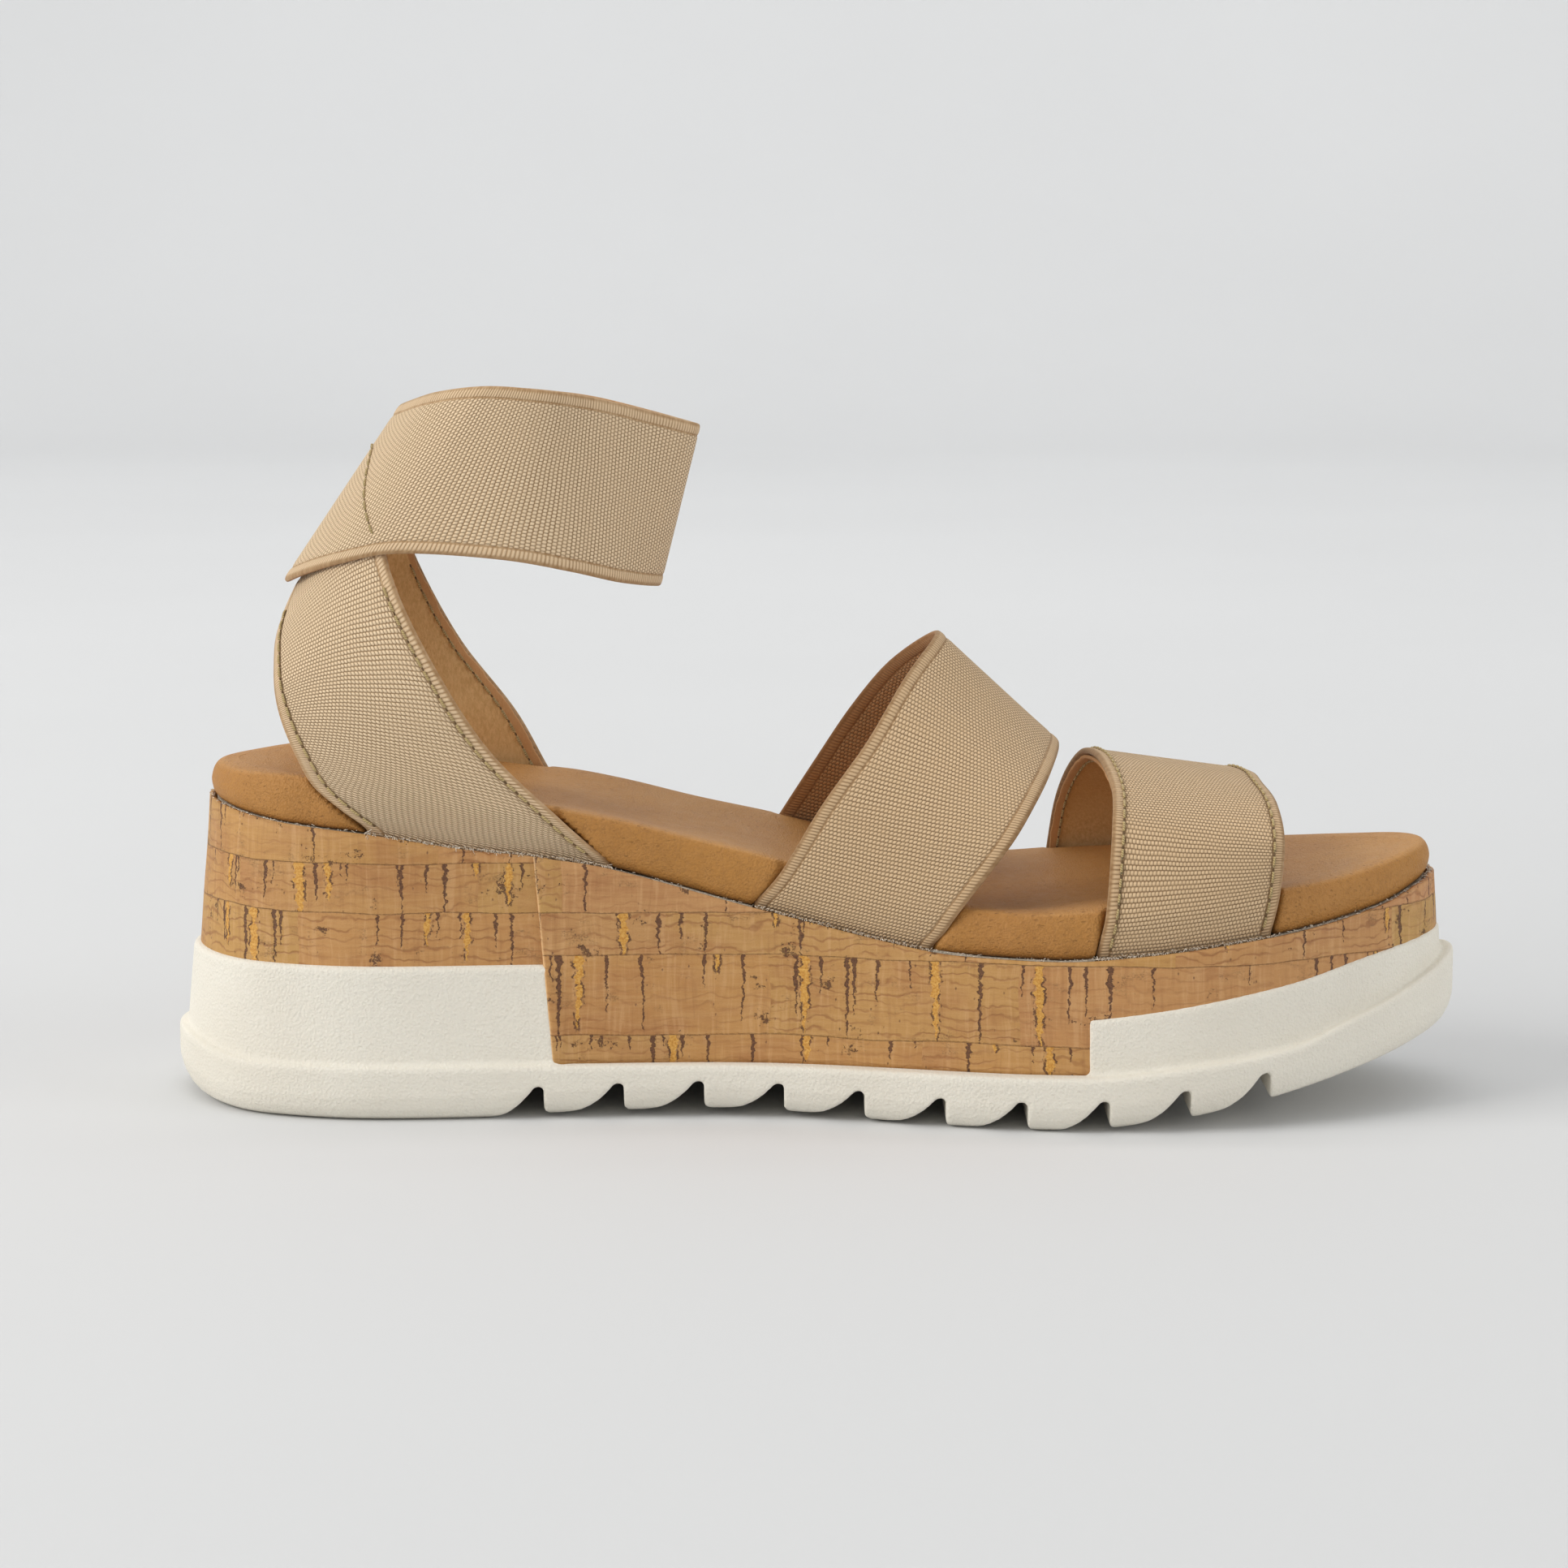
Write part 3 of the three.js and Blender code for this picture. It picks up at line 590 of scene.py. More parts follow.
    long_slit = filled(*slits(9.5, 0.66, 0.5, 1.4, 1.0))
    short_slit = filled(*slits(6.1, 0.46, 0.5, 0.55, 11.0))
    gold_slit = slits(9.5, 0.40, 0.88, 1.1, 23.0, 2.0)
    gold = filled(*gold_slit)
    gold_rim = filled(*gold_slit, 0.45) - gold
    torn = n.drawn(u, v, (0.8, 0.35), run, 3.0, 0.6)
    gold_rim = gold_rim * (n.ramp(speck, 0.36, 0.5) * n.ramp(torn, 0.46, 0.58))
    island = n.ramp(n.noise(uv, 0.16, 2.0) * 0.75 + crumb * 0.45, 0.74, 0.78)
    island = island * n.ramp(speck, 0.36, 0.52)
    nick = n.ramp(n.voronoi(n.scaled(uv, (1.0, 0.6, 1.0)), 0.42), 0.0, 0.11)
    nick = (1.0 - nick) * 0.8

    glint = n.ramp(n.noise(uv, 1.9, 3.0, 0.7), 0.35, 0.65)
    color = n.mix(gold, color, n.mix(glint, rgb(190, 130, 50), rgb(218, 168, 86)))
    dark = n.larger(n.larger(long_slit, short_slit), n.larger(island, gold_rim))
    dark = n.larger(dark, nick) * (1.0 - gold)
    dark_color = n.mix(n.ramp(speck, 0.38, 0.66), rgb(64, 34, 26), rgb(112, 70, 44))
    color = n.mix(dark * 0.88, color, dark_color)
    color = n.tint(color, row_seam, 0.36, (120, 74, 42))

    if cut_edge_highlight:
        # a painted highlight: the sheet's cut end is painted paler, for the light that its rounded edge
        # catches; the band leans forwards at its foot like the cup's end
        plain_u, plain_v, _ = n.split(uv)
        lean = (SEAM_TOP - plain_v) * CUP_SLANT
        from_cut = plain_u - UV_START - lean
        from_cut = crumb * 0.5 + from_cut
        pale = 1.0 - n.ramp(from_cut, 0.35, 0.75)
        color = n.tint(color, pale, 0.75, (226, 186, 136))
    height = fibre * 0.3 + tone_b * 0.5
    height = height - lines * 0.25
    height = height - n.larger(dark, row_seam) * 0.9
    height = speck * 0.3 + height
    rough = n.remap(fibre, 0.3, 0.7, 0.50, 0.68)
    return n.finish(color, rough, n.bump(height, 0.25), Specular_IOR_Level=0.4)


def leather_material():
    n = Nodes("footbed_leather")
    p = n.position()
    _, _, up = n.split(n.add("ShaderNodeNewGeometry", output=1))
    top = n.ramp(up, 0.55, 0.92)
    pores = n.voronoi(n.warped(p, 0.8, (0.5, 0.5, 0.5)), 1.9)
    hairs = n.voronoi(n.scaled(n.warped(p, 0.3, (0.8, 0.8, 0.8)), (0.42, 1.15, 1.15)), 0.9)
    fine = n.noise(p, 3.0, 3.0, 0.6)
    x, y, z = n.split(n.warped(p, 0.05, (6.0, 10.0, 6.0)))
    crease = n.noise(n.vector(x * 0.5, y * 0.09, z * 0.5), 1.0, 4.0, 0.6)
    fold = n.ramp(abs(crease - 0.5), 0.0, 0.035)
    broad = n.noise(p, 0.022, 4.0, 0.55)
    mottle = n.noise(p, 0.35, 4.0, 0.65)
    # the leather facing up is coloured lighter than its sides: partly the leather's own tone, partly a
    # painted highlight for the light from above
    color = n.mix(top, rgb(177, 125, 62), rgb(192, 142, 84))
    color = n.tint(color, n.ramp(broad, 0.35, 0.7), 0.45, (164, 112, 60))
    color = n.tint(color, n.ramp(mottle, 0.4, 0.7), 0.18, (192, 142, 84))
    color = n.tint(color, 1.0 - n.ramp(pores, 0.05, 0.35), 0.3, (140, 92, 52))
    # painted shade: the crease lines are darkened a little
    color = n.tint(color, 1.0 - fold, 0.07, (146, 98, 60))
    pricked = (1.0 - n.ramp(hairs, 0.12, 0.2)) * n.ramp(broad, 0.3, 0.5)
    color = n.tint(color, pricked, top * 0.38 + 0.1, (118, 76, 44))
    height = pores * 0.55 + fine * 0.35
    height = fold * 0.2 + height
    height = height - pricked * 0.5
    height = mottle * 0.25 + height
    rough = n.remap(mottle, 0.3, 0.7, 0.50, 0.62)
    return n.finish(color, rough, n.bump(height, 0.26), Specular_IOR_Level=0.3)


# The weave's columns, the beads down a column, and the ticks of the selvedge.
COLUMN_PITCH = 0.9
BEAD_PITCH = 0.74
TICK_PITCH = 0.72


def elastic_material(name, slant=0.0, inside=False, shaded=False):
    """Woven elastic. The UV map is (along, across) in millimetres; the body is a field of beads in
    columns across the strap, and a selvedge with fine ticks runs along each edge."""
    n = Nodes(name)
    uv = n.uv()
    u, v, _ = n.split(n.warped(uv, 0.12, (0.5, 0.3, 0.0)))
    edge = n.smaller(v, STRAP_WIDTH - v)
    body = n.ramp(edge, SELVEDGE - 0.15, SELVEDGE + 0.1)
    groove = 1.0 - n.ramp(abs(edge - SELVEDGE), 0.08, 0.38)

    column = (v * slant + u) / COLUMN_PITCH
    odd = n.math("MODULO", abs(n.floor(column)), 2.0)
    bead_row = v / BEAD_PITCH + odd * 0.5
    across = abs(n.sine(column * math.pi))
    down = abs(n.sine(bead_row * math.pi))
    bead = across**0.6 * down**0.46
    tick = abs(n.sine(u / TICK_PITCH * math.pi)) ** 0.6
    round_edge = n.ramp(edge, 0.0, 1.1)
    selvedge = (tick * 0.46 + 0.1) * round_edge
    weave = bead * body + selvedge * (1.0 - body)
    weave = weave * (1.0 - groove * 0.6)

    yarn = n.drawn(u, v, (5.0, 2.0), 0.0, 2.0, 0.6)
    slub = n.drawn(u, v, (0.9, 0.05), 0.0, 3.0, 0.6)
    runs = n.drawn(u, v, (0.03, 0.9), 0.0, 3.0, 0.6)
    if inside:
        high, low, warm = rgb(216, 170, 124), rgb(150, 106, 66), rgb(196, 150, 104)
    # a painted shade: a darker copy of the same elastic, for the toe and vamp straps
    elif shaded:
        high, low, warm = rgb(226, 196, 157), rgb(139, 105, 68), rgb(207, 174, 133)
    else:
        high, low, warm = rgb(244, 218, 182), rgb(160, 124, 84), rgb(224, 194, 156)
    # the colour follows the weave's height: painted shade darkens the hollows between the beads, the groove
    # by each selvedge and the rolled edges
    color = n.mix(n.ramp(weave, 0.12, 0.8), low, high)
    color = n.mix(n.ramp(slub, 0.35, 0.7) * 0.35, color, warm)
    color = n.mix(n.ramp(runs, 0.4, 0.7) * 0.25, color, warm)
    color = n.mix(n.ramp(yarn, 0.5, 0.8) * 0.22, color, low)
    height = yarn * 0.15 + weave
    return n.finish(color, 0.82, n.bump(height, 0.34), Specular_IOR_Level=0.25, Sheen_Weight=0.25,
                    Sheen_Roughness=0.5, Sheen_Tint=rgb(255, 240, 218))


def lining_material():
    n = Nodes("suede_lining")
    p = n.position()
    nap = n.noise(n.scaled(p, (1.0, 1.0, 0.45)), 1.7, 5.0, 0.7)
    brushed = n.noise(p, 0.12, 4.0, 0.6)
    hair = n.noise(n.scaled(p, (3.0, 3.0, 0.7)), 2.0, 3.0, 0.6)
    color = n.mix(n.ramp(nap, 0.3, 0.7), rgb(206, 166, 112), rgb(230, 194, 140))
    color = n.tint(color, n.ramp(brushed, 0.35, 0.7), 0.5, (218, 180, 126))
    color = n.tint(color, n.ramp(hair, 0.55, 0.75), 0.25, (168, 122, 74))
    _, across, _ = n.split(n.uv())
    edge = n.smaller(across, STRAP_WIDTH - across)
    rim = 1.0 - n.ramp(edge, 1.9, 2.3)
    color = n.tint(color, rim, 0.8, (196, 144, 98))
    height = nap + hair * 0.5
    return n.finish(color, 0.92, n.bump(height, 0.2), Specular_IOR_Level=0.15, Sheen_Weight=0.5,
                    Sheen_Roughness=0.4, Sheen_Tint=rgb(235, 200, 160))


def thread_material():
    n = Nodes("olive_thread")
    u, v, _ = n.split(n.uv())
    ply = n.sine((u * 2.2 + v * 1.6) * math.tau)
    fuzz = n.noise(n.position(), 3.0, 3.0)
    # painted shade: the grooves between the plies are coloured darker than their crowns
    color = n.mix(n.ramp(ply, -0.6, 0.7), rgb(158, 134, 82), rgb(206, 182, 126))
    color = n.tint(color, n.ramp(fuzz, 0.4, 0.7), 0.4, (186, 160, 108))
    return n.finish(color, 0.6, n.bump(fuzz * 0.4 + ply, 0.06), Sheen_Weight=0.2)


def hole_material():
    n = Nodes("needle_holes")
    fuzz = n.noise(n.position(), 2.5, 3.0)
    # painted shade: the dark brown stands in for the shade inside the needle holes
    color = n.mix(n.ramp(fuzz, 0.35, 0.7), rgb(98, 76, 50), rgb(128, 104, 74))
    return n.finish(color, 0.95, n.bump(fuzz, 0.1))


def fray_material():
    n = Nodes("frayed_yarn")
    fuzz = n.noise(n.position(), 1.4, 4.0)
    color = n.mix(n.ramp(fuzz, 0.35, 0.7), rgb(214, 198, 176), rgb(242, 232, 216))
    return n.finish(color, 0.9, n.bump(fuzz, 0.1), Sheen_Weight=0.3)


def foam_material(name, light, dark, scale):
    n = Nodes(name)
    cells = n.voronoi(n.position(), scale)
    broad = n.noise(n.position(), 0.08, 3.0)
    color = n.mix(n.ramp(cells, 0.1, 0.6), dark, light)
    color = n.mix(broad * 0.3, color, dark)
    return n.finish(color, 0.9, n.bump(cells, 0.2))


def board_material():
    n = Nodes("fibre_board")
    p = n.position()
    fibre = n.noise(n.scaled(p, (0.3, 2.0, 2.0)), 1.2, 5.0, 0.7)
    color = n.mix(n.ramp(fibre, 0.3, 0.7), rgb(150, 118, 80), rgb(188, 158, 116))
    return n.finish(color, 0.85, n.bump(fibre, 0.15))


def floor_material():
    n = Nodes("studio_floor")
    coords = n.add("ShaderNodeTexCoord", output=3)
    haze = n.noise(coords, 1.4, 4.0)
    grain = n.noise(coords, 900.0, 2.0)
    color = n.mix(n.ramp(haze, 0.3, 0.7), rgb(214, 215, 216), rgb(217, 218, 219))
    return n.finish(color, 0.85, n.bump(grain, 0.02), Specular_IOR_Level=0.2)


EVA = eva_material()
CORK_HEEL = cork_material("cork_heel_skin", HEEL_SHEET_ROWS, 3.0)
CORK_FRONT = cork_material("cork_front_skin", FRONT_SHEET_ROWS, 17.0, cut_edge_highlight=True)
LEATHER_SKIN = leather_material()
WEAVE = elastic_material("beige_elastic")
# the toe and vamp straps' elastic, darkened with painted shade
WEAVE_SHADED = elastic_material("beige_elastic_shaded", shaded=True)
WEAVE_SLANT = elastic_material("beige_elastic_slant", slant=0.35)
WEAVE_INSIDE = elastic_material("beige_elastic_inside", inside=True)
SUEDE = lining_material()
THREAD = thread_material()
HOLE = hole_material()
FRAY = fray_material()


# ------------------------------------------------------------------ sole
def slab_cut(obj, x_from=None, x_to=None, slant=0.0):
    """Keeps what lies between two planes across the sandal, and closes the cut. slant is how far
    the planes lean forwards at their foot, per millimetre of height."""
    with editing(obj) as bm:
        for x, side in ((x_from, -1), (x_to, 1)):
            if x is None:
                continue
            everything = bm.verts[:] + bm.edges[:] + bm.faces[:]
            cut = bmesh.ops.bisect_plane(bm, geom=everything, plane_co=place((x, 0, HEEL_CUP_TOP)),
                                         plane_no=(side, 0, side * slant), clear_outer=True)
            edges = [e for e in cut["geom_cut"] if isinstance(e, bmesh.types.BMEdge)]
            bmesh.ops.holes_fill(bm, edges=edges, sides=0)
    return obj


def tread_profile():
    """The underside between the teeth as (x, z), from behind the first tooth to the last."""
    start = TREAD_START - FIRST_HOLLOW
    points = [(start - 4, sole_bottom(start - 4) - 0.02)]

    def hollow(x0, length):
        for s in np.linspace(0, 1, 15):
            x = x0 + length * s
            points.append((x, sole_bottom(x) + TREAD_DEPTH * min(1.0, (s / TREAD_LEDGE) ** 2.3)))

    hollow(start, FIRST_HOLLOW)
    for tooth in range(TREAD_TEETH):
        face = TREAD_START + tooth * TREAD_PITCH
        points.append((face + 0.05, sole_bottom(face) + 1.2))
        points.append((face + 0.5, sole_bottom(face) + 0.3))
        points.append((face + 1.2, sole_bottom(face) - 0.02))
        if tooth < TREAD_TEETH - 1:
            hollow(face + TOOTH_FOOT, TREAD_PITCH - TOOTH_FOOT)
    end = TREAD_START + (TREAD_TEETH - 1) * TREAD_PITCH + TOOTH_FOOT
    points.append((end, sole_bottom(end) - 0.5))
    return [(start - 4, -6.0), *points, (end, -6.0)]


def tread_cutter():
    section = tread_profile()
    vertices = [(x, y, z) for y in (-80, 80) for x, z in section]
    count = len(section)
    faces = grid_faces(2, count, wrap_columns=True)
    faces += [tuple(range(count)), tuple(range(2 * count - 1, count - 1, -1))]
    return welded(new_object("tread_cutter", place(vertices), faces, smooth=False))


def build_outsole():
    rounding = [(-3.6, sole_bottom, 0), (-1.6, sole_bottom, 0.9), (-0.6, sole_bottom, 2.6),
                (0, sole_bottom, 5), (0, step_line, -1.0), (-0.25, step_line, -0.3),
                (-0.9, step_line, 0.05)]
    base = loft("outsole", [(raised(base_reach, out), raised(line, up)) for out, line, up in rounding])
    cutter = tread_cutter()
    modifier(base, "BOOLEAN", operation="DIFFERENCE", object=cutter, solver="EXACT")
    apply_modifiers(base)
    bpy.data.objects.remove(cutter)

    def cup(name, top, x_from, x_to):
        heights = [raised(step_line, -2), raised(step_line, 0.4), raised(top, -0.7), top]
        walls = [CUP_WALL + GAP] * 3 + [CUP_WALL + GAP - 0.7]
        wall = loft(name, [(cork_reach(up, out), up) for up, out in zip(heights, walls)])
        return slab_cut(wall, x_from, x_to, 0.0 if x_to is None else CUP_SLANT)

    heel = cup("heel_cup", level(HEEL_CUP_TOP), None, HEEL_CUP_FRONT + CUP_LAP)
    toe = cup("toe_cup", toe_cup_top, TOE_CUP_REAR, None)
    sole = join("outsole_moulding", [base, heel, toe])
    modifier(sole, "REMESH", mode="VOXEL", voxel_size=0.5 * MM, use_smooth_shade=True)
    modifier(sole, "SMOOTH", factor=0.5, iterations=2)
    apply_modifiers(sole)
    sole.data.materials.clear()
    sole.data.materials.append(EVA)
    put_on(sole, "sandal", "eva", "outsole")


# ------------------------------------------------------------------ cork
def cork_sheet(name, x_from, x_to, lift, node, material):
    """A sheet of cork over the wedge's sides between two stations, open where it is cut."""
    rows = 26
    share = np.linspace(0, 1, rows)
    points, uvs = [], []
    for s in share:
        height = lambda x, s=s: floor_line(x) + (pad_line(x) - floor_line(x) - 0.2) * s
        near, far = outline(cork_reach(height, lift))
        if x_from is None:
            quarter = 1 - np.cos(np.linspace(0, math.pi / 2, 150))
            x = near[0, 0] + (x_to - near[0, 0]) * quarter
            ring = np.concatenate([np.stack([x, side_y(far, x)], 1)[::-1],
                                   np.stack([x, side_y(near, x)], 1)[1:]])
        else:
            quarter = np.sin(np.linspace(0, math.pi / 2, 260))
            quarter = np.insert(quarter, 1, (0.0015, 0.003, 0.0045))
            seam = x_from + CUP_SLANT * (1 - s) * SEAM_TALL
            x = seam + (near[-1, 0] - seam) * quarter
            ring = np.concatenate([np.stack([x, side_y(near, x)], 1),
                                   np.stack([x, side_y(far, x)], 1)[::-1][1:]])
        z = height(ring[:, 0])
        along = running_length(ring)
        along = along - along[-1] if x_from is None else along + seam - x_from
        points.append(np.column_stack([ring, z]))
        uvs.append(np.column_stack([along + UV_START, z]))
    points, uvs = np.array(points), np.array(uvs)
    # the cork creases where it is pulled round the toe, and lifts a little everywhere
    along, up = uvs[..., 0], uvs[..., 1]
    tip = np.clip((points[..., 0] - 96) / 30, 0, 1)
    crease = np.sin(along * 0.9 + 2.2 * np.sin(up * 0.23)) * np.sin(along * 0.37 + 1.0)
    swell = 0.12 * np.sin(along * 0.11 + up * 0.05) * np.sin(up * 0.21 + 0.4)
    pull = swell - 0.32 * tip * np.clip(crease, 0, 1) * share[:, None] ** 1.5
    if x_from is not None:
        # its cut end is rounded, and laps over the end of the heel cup
        from_cut = along - along[:, :1]
        over = np.clip((from_cut - 1.6) / 2.6, 0, 1)
        low_down = np.clip((HEEL_CUP_TOP + 0.6 - up) / 1.4, 0, 1)
        pull = pull + 0.85 * (1 - smooth(over)) * low_down
        pull = pull - 0.45 * np.clip(1 - from_cut / 0.7, 0, 1) ** 2
    forward = unit(np.gradient(points[..., :2], axis=1))
    points[..., 0] += forward[..., 1] * pull
    points[..., 1] -= forward[..., 0] * pull
    count = points.shape[1]
    obj = new_object(name, place(points.reshape(-1, 3)), grid_faces(rows, count),
                     uvs.reshape(-1, 2), material)
    modifier(obj, "SOLIDIFY", thickness=CORK_THICK * MM, offset=-1.0)
    put_on(obj, "sandal", "cork", node)


# ------------------------------------------------------------------ footbed
def press_under_straps(points):
    """How far each strap presses the footbed's side inwards, at points of the drawing."""
    x, y, z = points.T
    rise = np.clip((z - pad_line(x)) / 8.5, 0, 1)
    near, far = outline(level(0.0))
    push = np.zeros(len(points))
    for side, edge, sign in (("near", near, -1), ("far", far, 1)):
        depth = np.abs(side_y(edge, x) - y)
        on_side = (np.sign(y) == sign) * np.clip(1.6 - depth / 3.0, 0, 1)
        for (first, second), thick in STRAP_FEET:
            low = first[side][0] + (first[side][1] - first[side][0]) * rise
            high = second[side][0] + (second[side][1] - second[side][0]) * rise
            inside = np.minimum(x - low, high - x)
            covered = np.clip(inside / 1.2 + 0.6, 0, 1)
            need = np.interp(rise, [0, 0.45, 1], [0.9, 0.0, -0.2]) + thick
            push = np.maximum(push, smooth(covered) * need * on_side)
    return np.stack([np.zeros(len(points)), np.sign(y) * push, np.zeros(len(points))], 1)


def build_footbed():
    def tip(x):
        return np.clip(1 - (x + 127) / 22, 0, 1) + np.clip((x - 100) / 26, 0, 1)

    def crown(x, across):
        bowl = 1 - np.abs(2 * across - 1) ** 2.4
        edge = np.minimum(across, 1 - across)
        inward = min(1.0, max(0.0, min(x + 123.5, 125.5 - x) / 26))
        return -dish_depth(x) * bowl * smooth(inward) + 0.25 * np.exp(-((edge / 0.035) ** 2))

    # each level of the lower roll: how far out, and how far above the pad's line
    levels = [(level(out), raised(pad_line, up))
              for out, up in ((-4.5, -0.1), (-1.6, -0.2), (-0.6, 0.1), (0.05, 1.2), (0.35, 2.9))]
    # and of the side and the rim: how far out, less at the tips, and the share of the pad's depth
    for out, less, part, up in ((0.25, 0, 0.5, 0), (-0.05, 0, 0.7, 0), (-0.45, 0.2, 0.86, 0),
                                (-1.0, 0.4, 0.965, -0.05), (-1.6, 0.5, 1, -0.02),
                                (-2.6, 0.9, 1, 0.05), (-4.2, 1.2, 1, 0.12)):
        levels.append((lambda x, out=out, less=less: out - less * tip(x),
                       lambda x, part=part, up=up: pad_line(x) + pad_depth(x) * part + up))
    pad = loft("footbed_pad", levels, top_columns=26, crown=crown)
    modifier(pad, "SUBSURF", levels=1, render_levels=1)
    apply_modifiers(pad)
    # the leather is drawn over the foam by hand: soft hollows, and a crease inside the edge
    mesh = pad.data
    co = np.array([v.co for v in mesh.vertices])
    drawing = (co - SHIFT) / MM
    x, y, z = drawing.T
    swell = np.sin(x * 0.085 + 0.7) * np.sin(y * 0.13 + 1.9) + 0.6 * np.sin(x * 0.19 + y * 0.11)
    near_edge = np.clip((pad_line(x) + pad_depth(x) - 1.5 - z) / 3, 0, 1)
    pucker = 0.16 * np.sin(x * 0.55 + 1.3 * np.sin(x * 0.13)) * near_edge * (np.abs(y) > 12)
    co[:, 2] += 0.22 * swell * MM * (1 - near_edge)
    co[:, 1] += np.sign(y) * pucker * MM
    co -= press_under_straps(drawing) * MM
    mesh.vertices.foreach_set("co", co.astype(np.float32).ravel())
    mesh.update()
    for polygon in mesh.polygons:
        polygon.use_smooth = True
    mesh.materials.append(LEATHER_SKIN)
    put_on(pad, "sandal", "footbed_leather", "footbed_cover")


# ------------------------------------------------------------------ strap surfaces
TUCK = [(-15, -3, 0), (-6, -3, 0), (-2.2, -2.2, 0), (-0.7, 0.3, 0), (0.6, 4, 0.47), (1, 8.5, 1)]
TUCK_EDGES = [dict(zip(("near", "far"), outline(level(offset)))) for offset, _, _ in TUCK]
SAG_FADE = 0.55


def mirrored(points):
    return points + [(x, -y, z) for x, y, z in points[-2::-1]]


class Strap:
    """The outer face of a strap between its first edge (u = 0) and its second (u = 1)."""

    def __init__(self, guide, closed):
        self.guide = guide
        self.closed = closed
        self.segments = len(guide(0.0)) - (0 if closed else 1)
        middle = self.raw(np.arange(24) / 24, np.array([0.5]))[:, 0]
        self.facing = 1.0
        probe = (np.arange(24) + 0.5) / 24
        point, normal = self.frame(probe, np.array([0.5]))
        self.facing = math.copysign(1.0, float(np.sum(normal[:, 0] * (point[:, 0] - middle.mean(0)))))

    def raw(self, t, u):
        return np.stack([catmull(self.guide(v), self.closed, t) for v in u], 1)

    def frame(self, t, u):
        """Points and outward normals of the strap, on the grid t by u."""
        step = 0.0015
        point = self.raw(t, u)
        if self.closed:
            along = self.raw((t + step) % 1, u) - self.raw((t - step) % 1, u)
        else:
            along = self.raw(np.minimum(t + step, 1), u) - self.raw(np.maximum(t - step, 0), u)
        sideways = self.raw(t, u + 0.02) - self.raw(t, u - 0.02)
        return point, unit(np.cross(unit(along), sideways)) * self.facing

    def spaced(self, step, start=0.0, end=1.0, u=0.5):
        """Fractions t about step millimetres apart along the strap."""
        fine = np.linspace(start, end, 1200)
        line = self.raw(fine % 1 if self.closed else fine, np.array([u]))[:, 0]
        length = running_length(line)
        count = max(2, int(round(length[-1] / step)))
        stops = np.linspace(0, length[-1], count + 1)
        return np.interp(stops, length, fine), stops


STRAP_FEET = []


def tucked_strap(first, second, thick):
    """A strap tucked under the footbed at both ends. Each edge is (near, free points, far), where
    near and far are (x at the footbed's lower line, x at its rim)."""

    def tab(side, u):
        points = []
        for (_, rise, part), edges in zip(TUCK, TUCK_EDGES):
            ends = [edge[side][0] + (edge[side][1] - edge[side][0]) * part for edge in (first, second)]
            x = ends[0] + (ends[1] - ends[0]) * u
            points.append((x, float(side_y(edges[side], x)), float(pad_line(x)) + rise))
        return np.array(points)

    STRAP_FEET.append(((first, second), thick))
    rims = {side: [tab(side, u)[-1] for u in (0.0, 1.0)] for side in ("near", "far")}

    def guide(u):
        near, far = tab("near", u), tab("far", u)
        sag_near = near[-1] - (rims["near"][0] * (1 - u) + rims["near"][1] * u)
        sag_far = far[-1] - (rims["far"][0] * (1 - u) + rims["far"][1] * u)
        a, b = np.array(first["free"], float), np.array(second["free"], float)
        free = a + (b - a) * u
        count = len(free)
        fade = SAG_FADE ** np.arange(1, count + 1)
        free = free + np.outer(fade, sag_near) + np.outer(fade[::-1], sag_far)
        return np.vstack([near, free, far[::-1]])

    return Strap(guide, closed=False)


TOE_STRAP = tucked_strap(
    {"near": (56, 57.6), "far": (50, 51.3),
     "free": [(59.4, -37, 61.5), (60, -29, 66.5), (59.2, -14, 70.3), (58, 0, 71), (56.3, 14, 69.3),
              (54, 28, 62.5), (52.5, 37, 54.5)]},
    {"near": (91.8, 93.4), "far": (84.5, 85.7),
     "free": [(94.4, -36.5, 57.3), (94, -26, 63.6), (92.6, -12, 66), (92.2, 0, 66.3),
              (90, 14, 65.1), (87.5, 25, 60.5), (86.5, 33, 52.7)]}, LINED)

VAMP_STRAP = tucked_strap(
    {"near": (-12.8, -7.4), "far": (-13.3, -8.8),
     "free": [(0.8, -29.5, 63.5), (10, -25.5, 76), (18, -16, 88), (25.5, 0, 96.4), (16, 16, 88.5),
              (7.8, 25.8, 77.5), (0.1, 30.8, 65.3)]},
    {"near": (23.3, 28.4), "far": (20.5, 30),
     "free": [(39.1, -38.5, 57.3), (44.5, -32, 65), (48.2, -22, 69.8), (51.2, 0, 72.8),
              (48, 22, 69.5), (44, 33, 63.5), (38, 40, 55)]}, ELASTIC)

HEEL_STRAP = tucked_strap(
    {"near": (-91.4, -102.4), "far": (-93.5, -104.4),
     "free": mirrored([(-105.6, -29, 73), (-109, -26, 80), (-110.9, -22, 85.7), (-111.6, -17, 91.3),
                       (-111.8, -12, 95.5), (-110.8, -6, 100.4), (-109, 0, 105)])},
    {"near": (-42, -52.5), "far": (-51.4, -57.5),
     "free": mirrored([(-66.3, -31, 74.8), (-76.6, -31, 90.7), (-85.2, -27.5, 107.3),
                       (-88.6, -23, 117.5), (-90, -17, 125.5), (-89.8, -11, 130.3),
                       (-89.5, 0, 137)])[:-1] + [(-64.4, 31, 74.8)]},
    LINED)

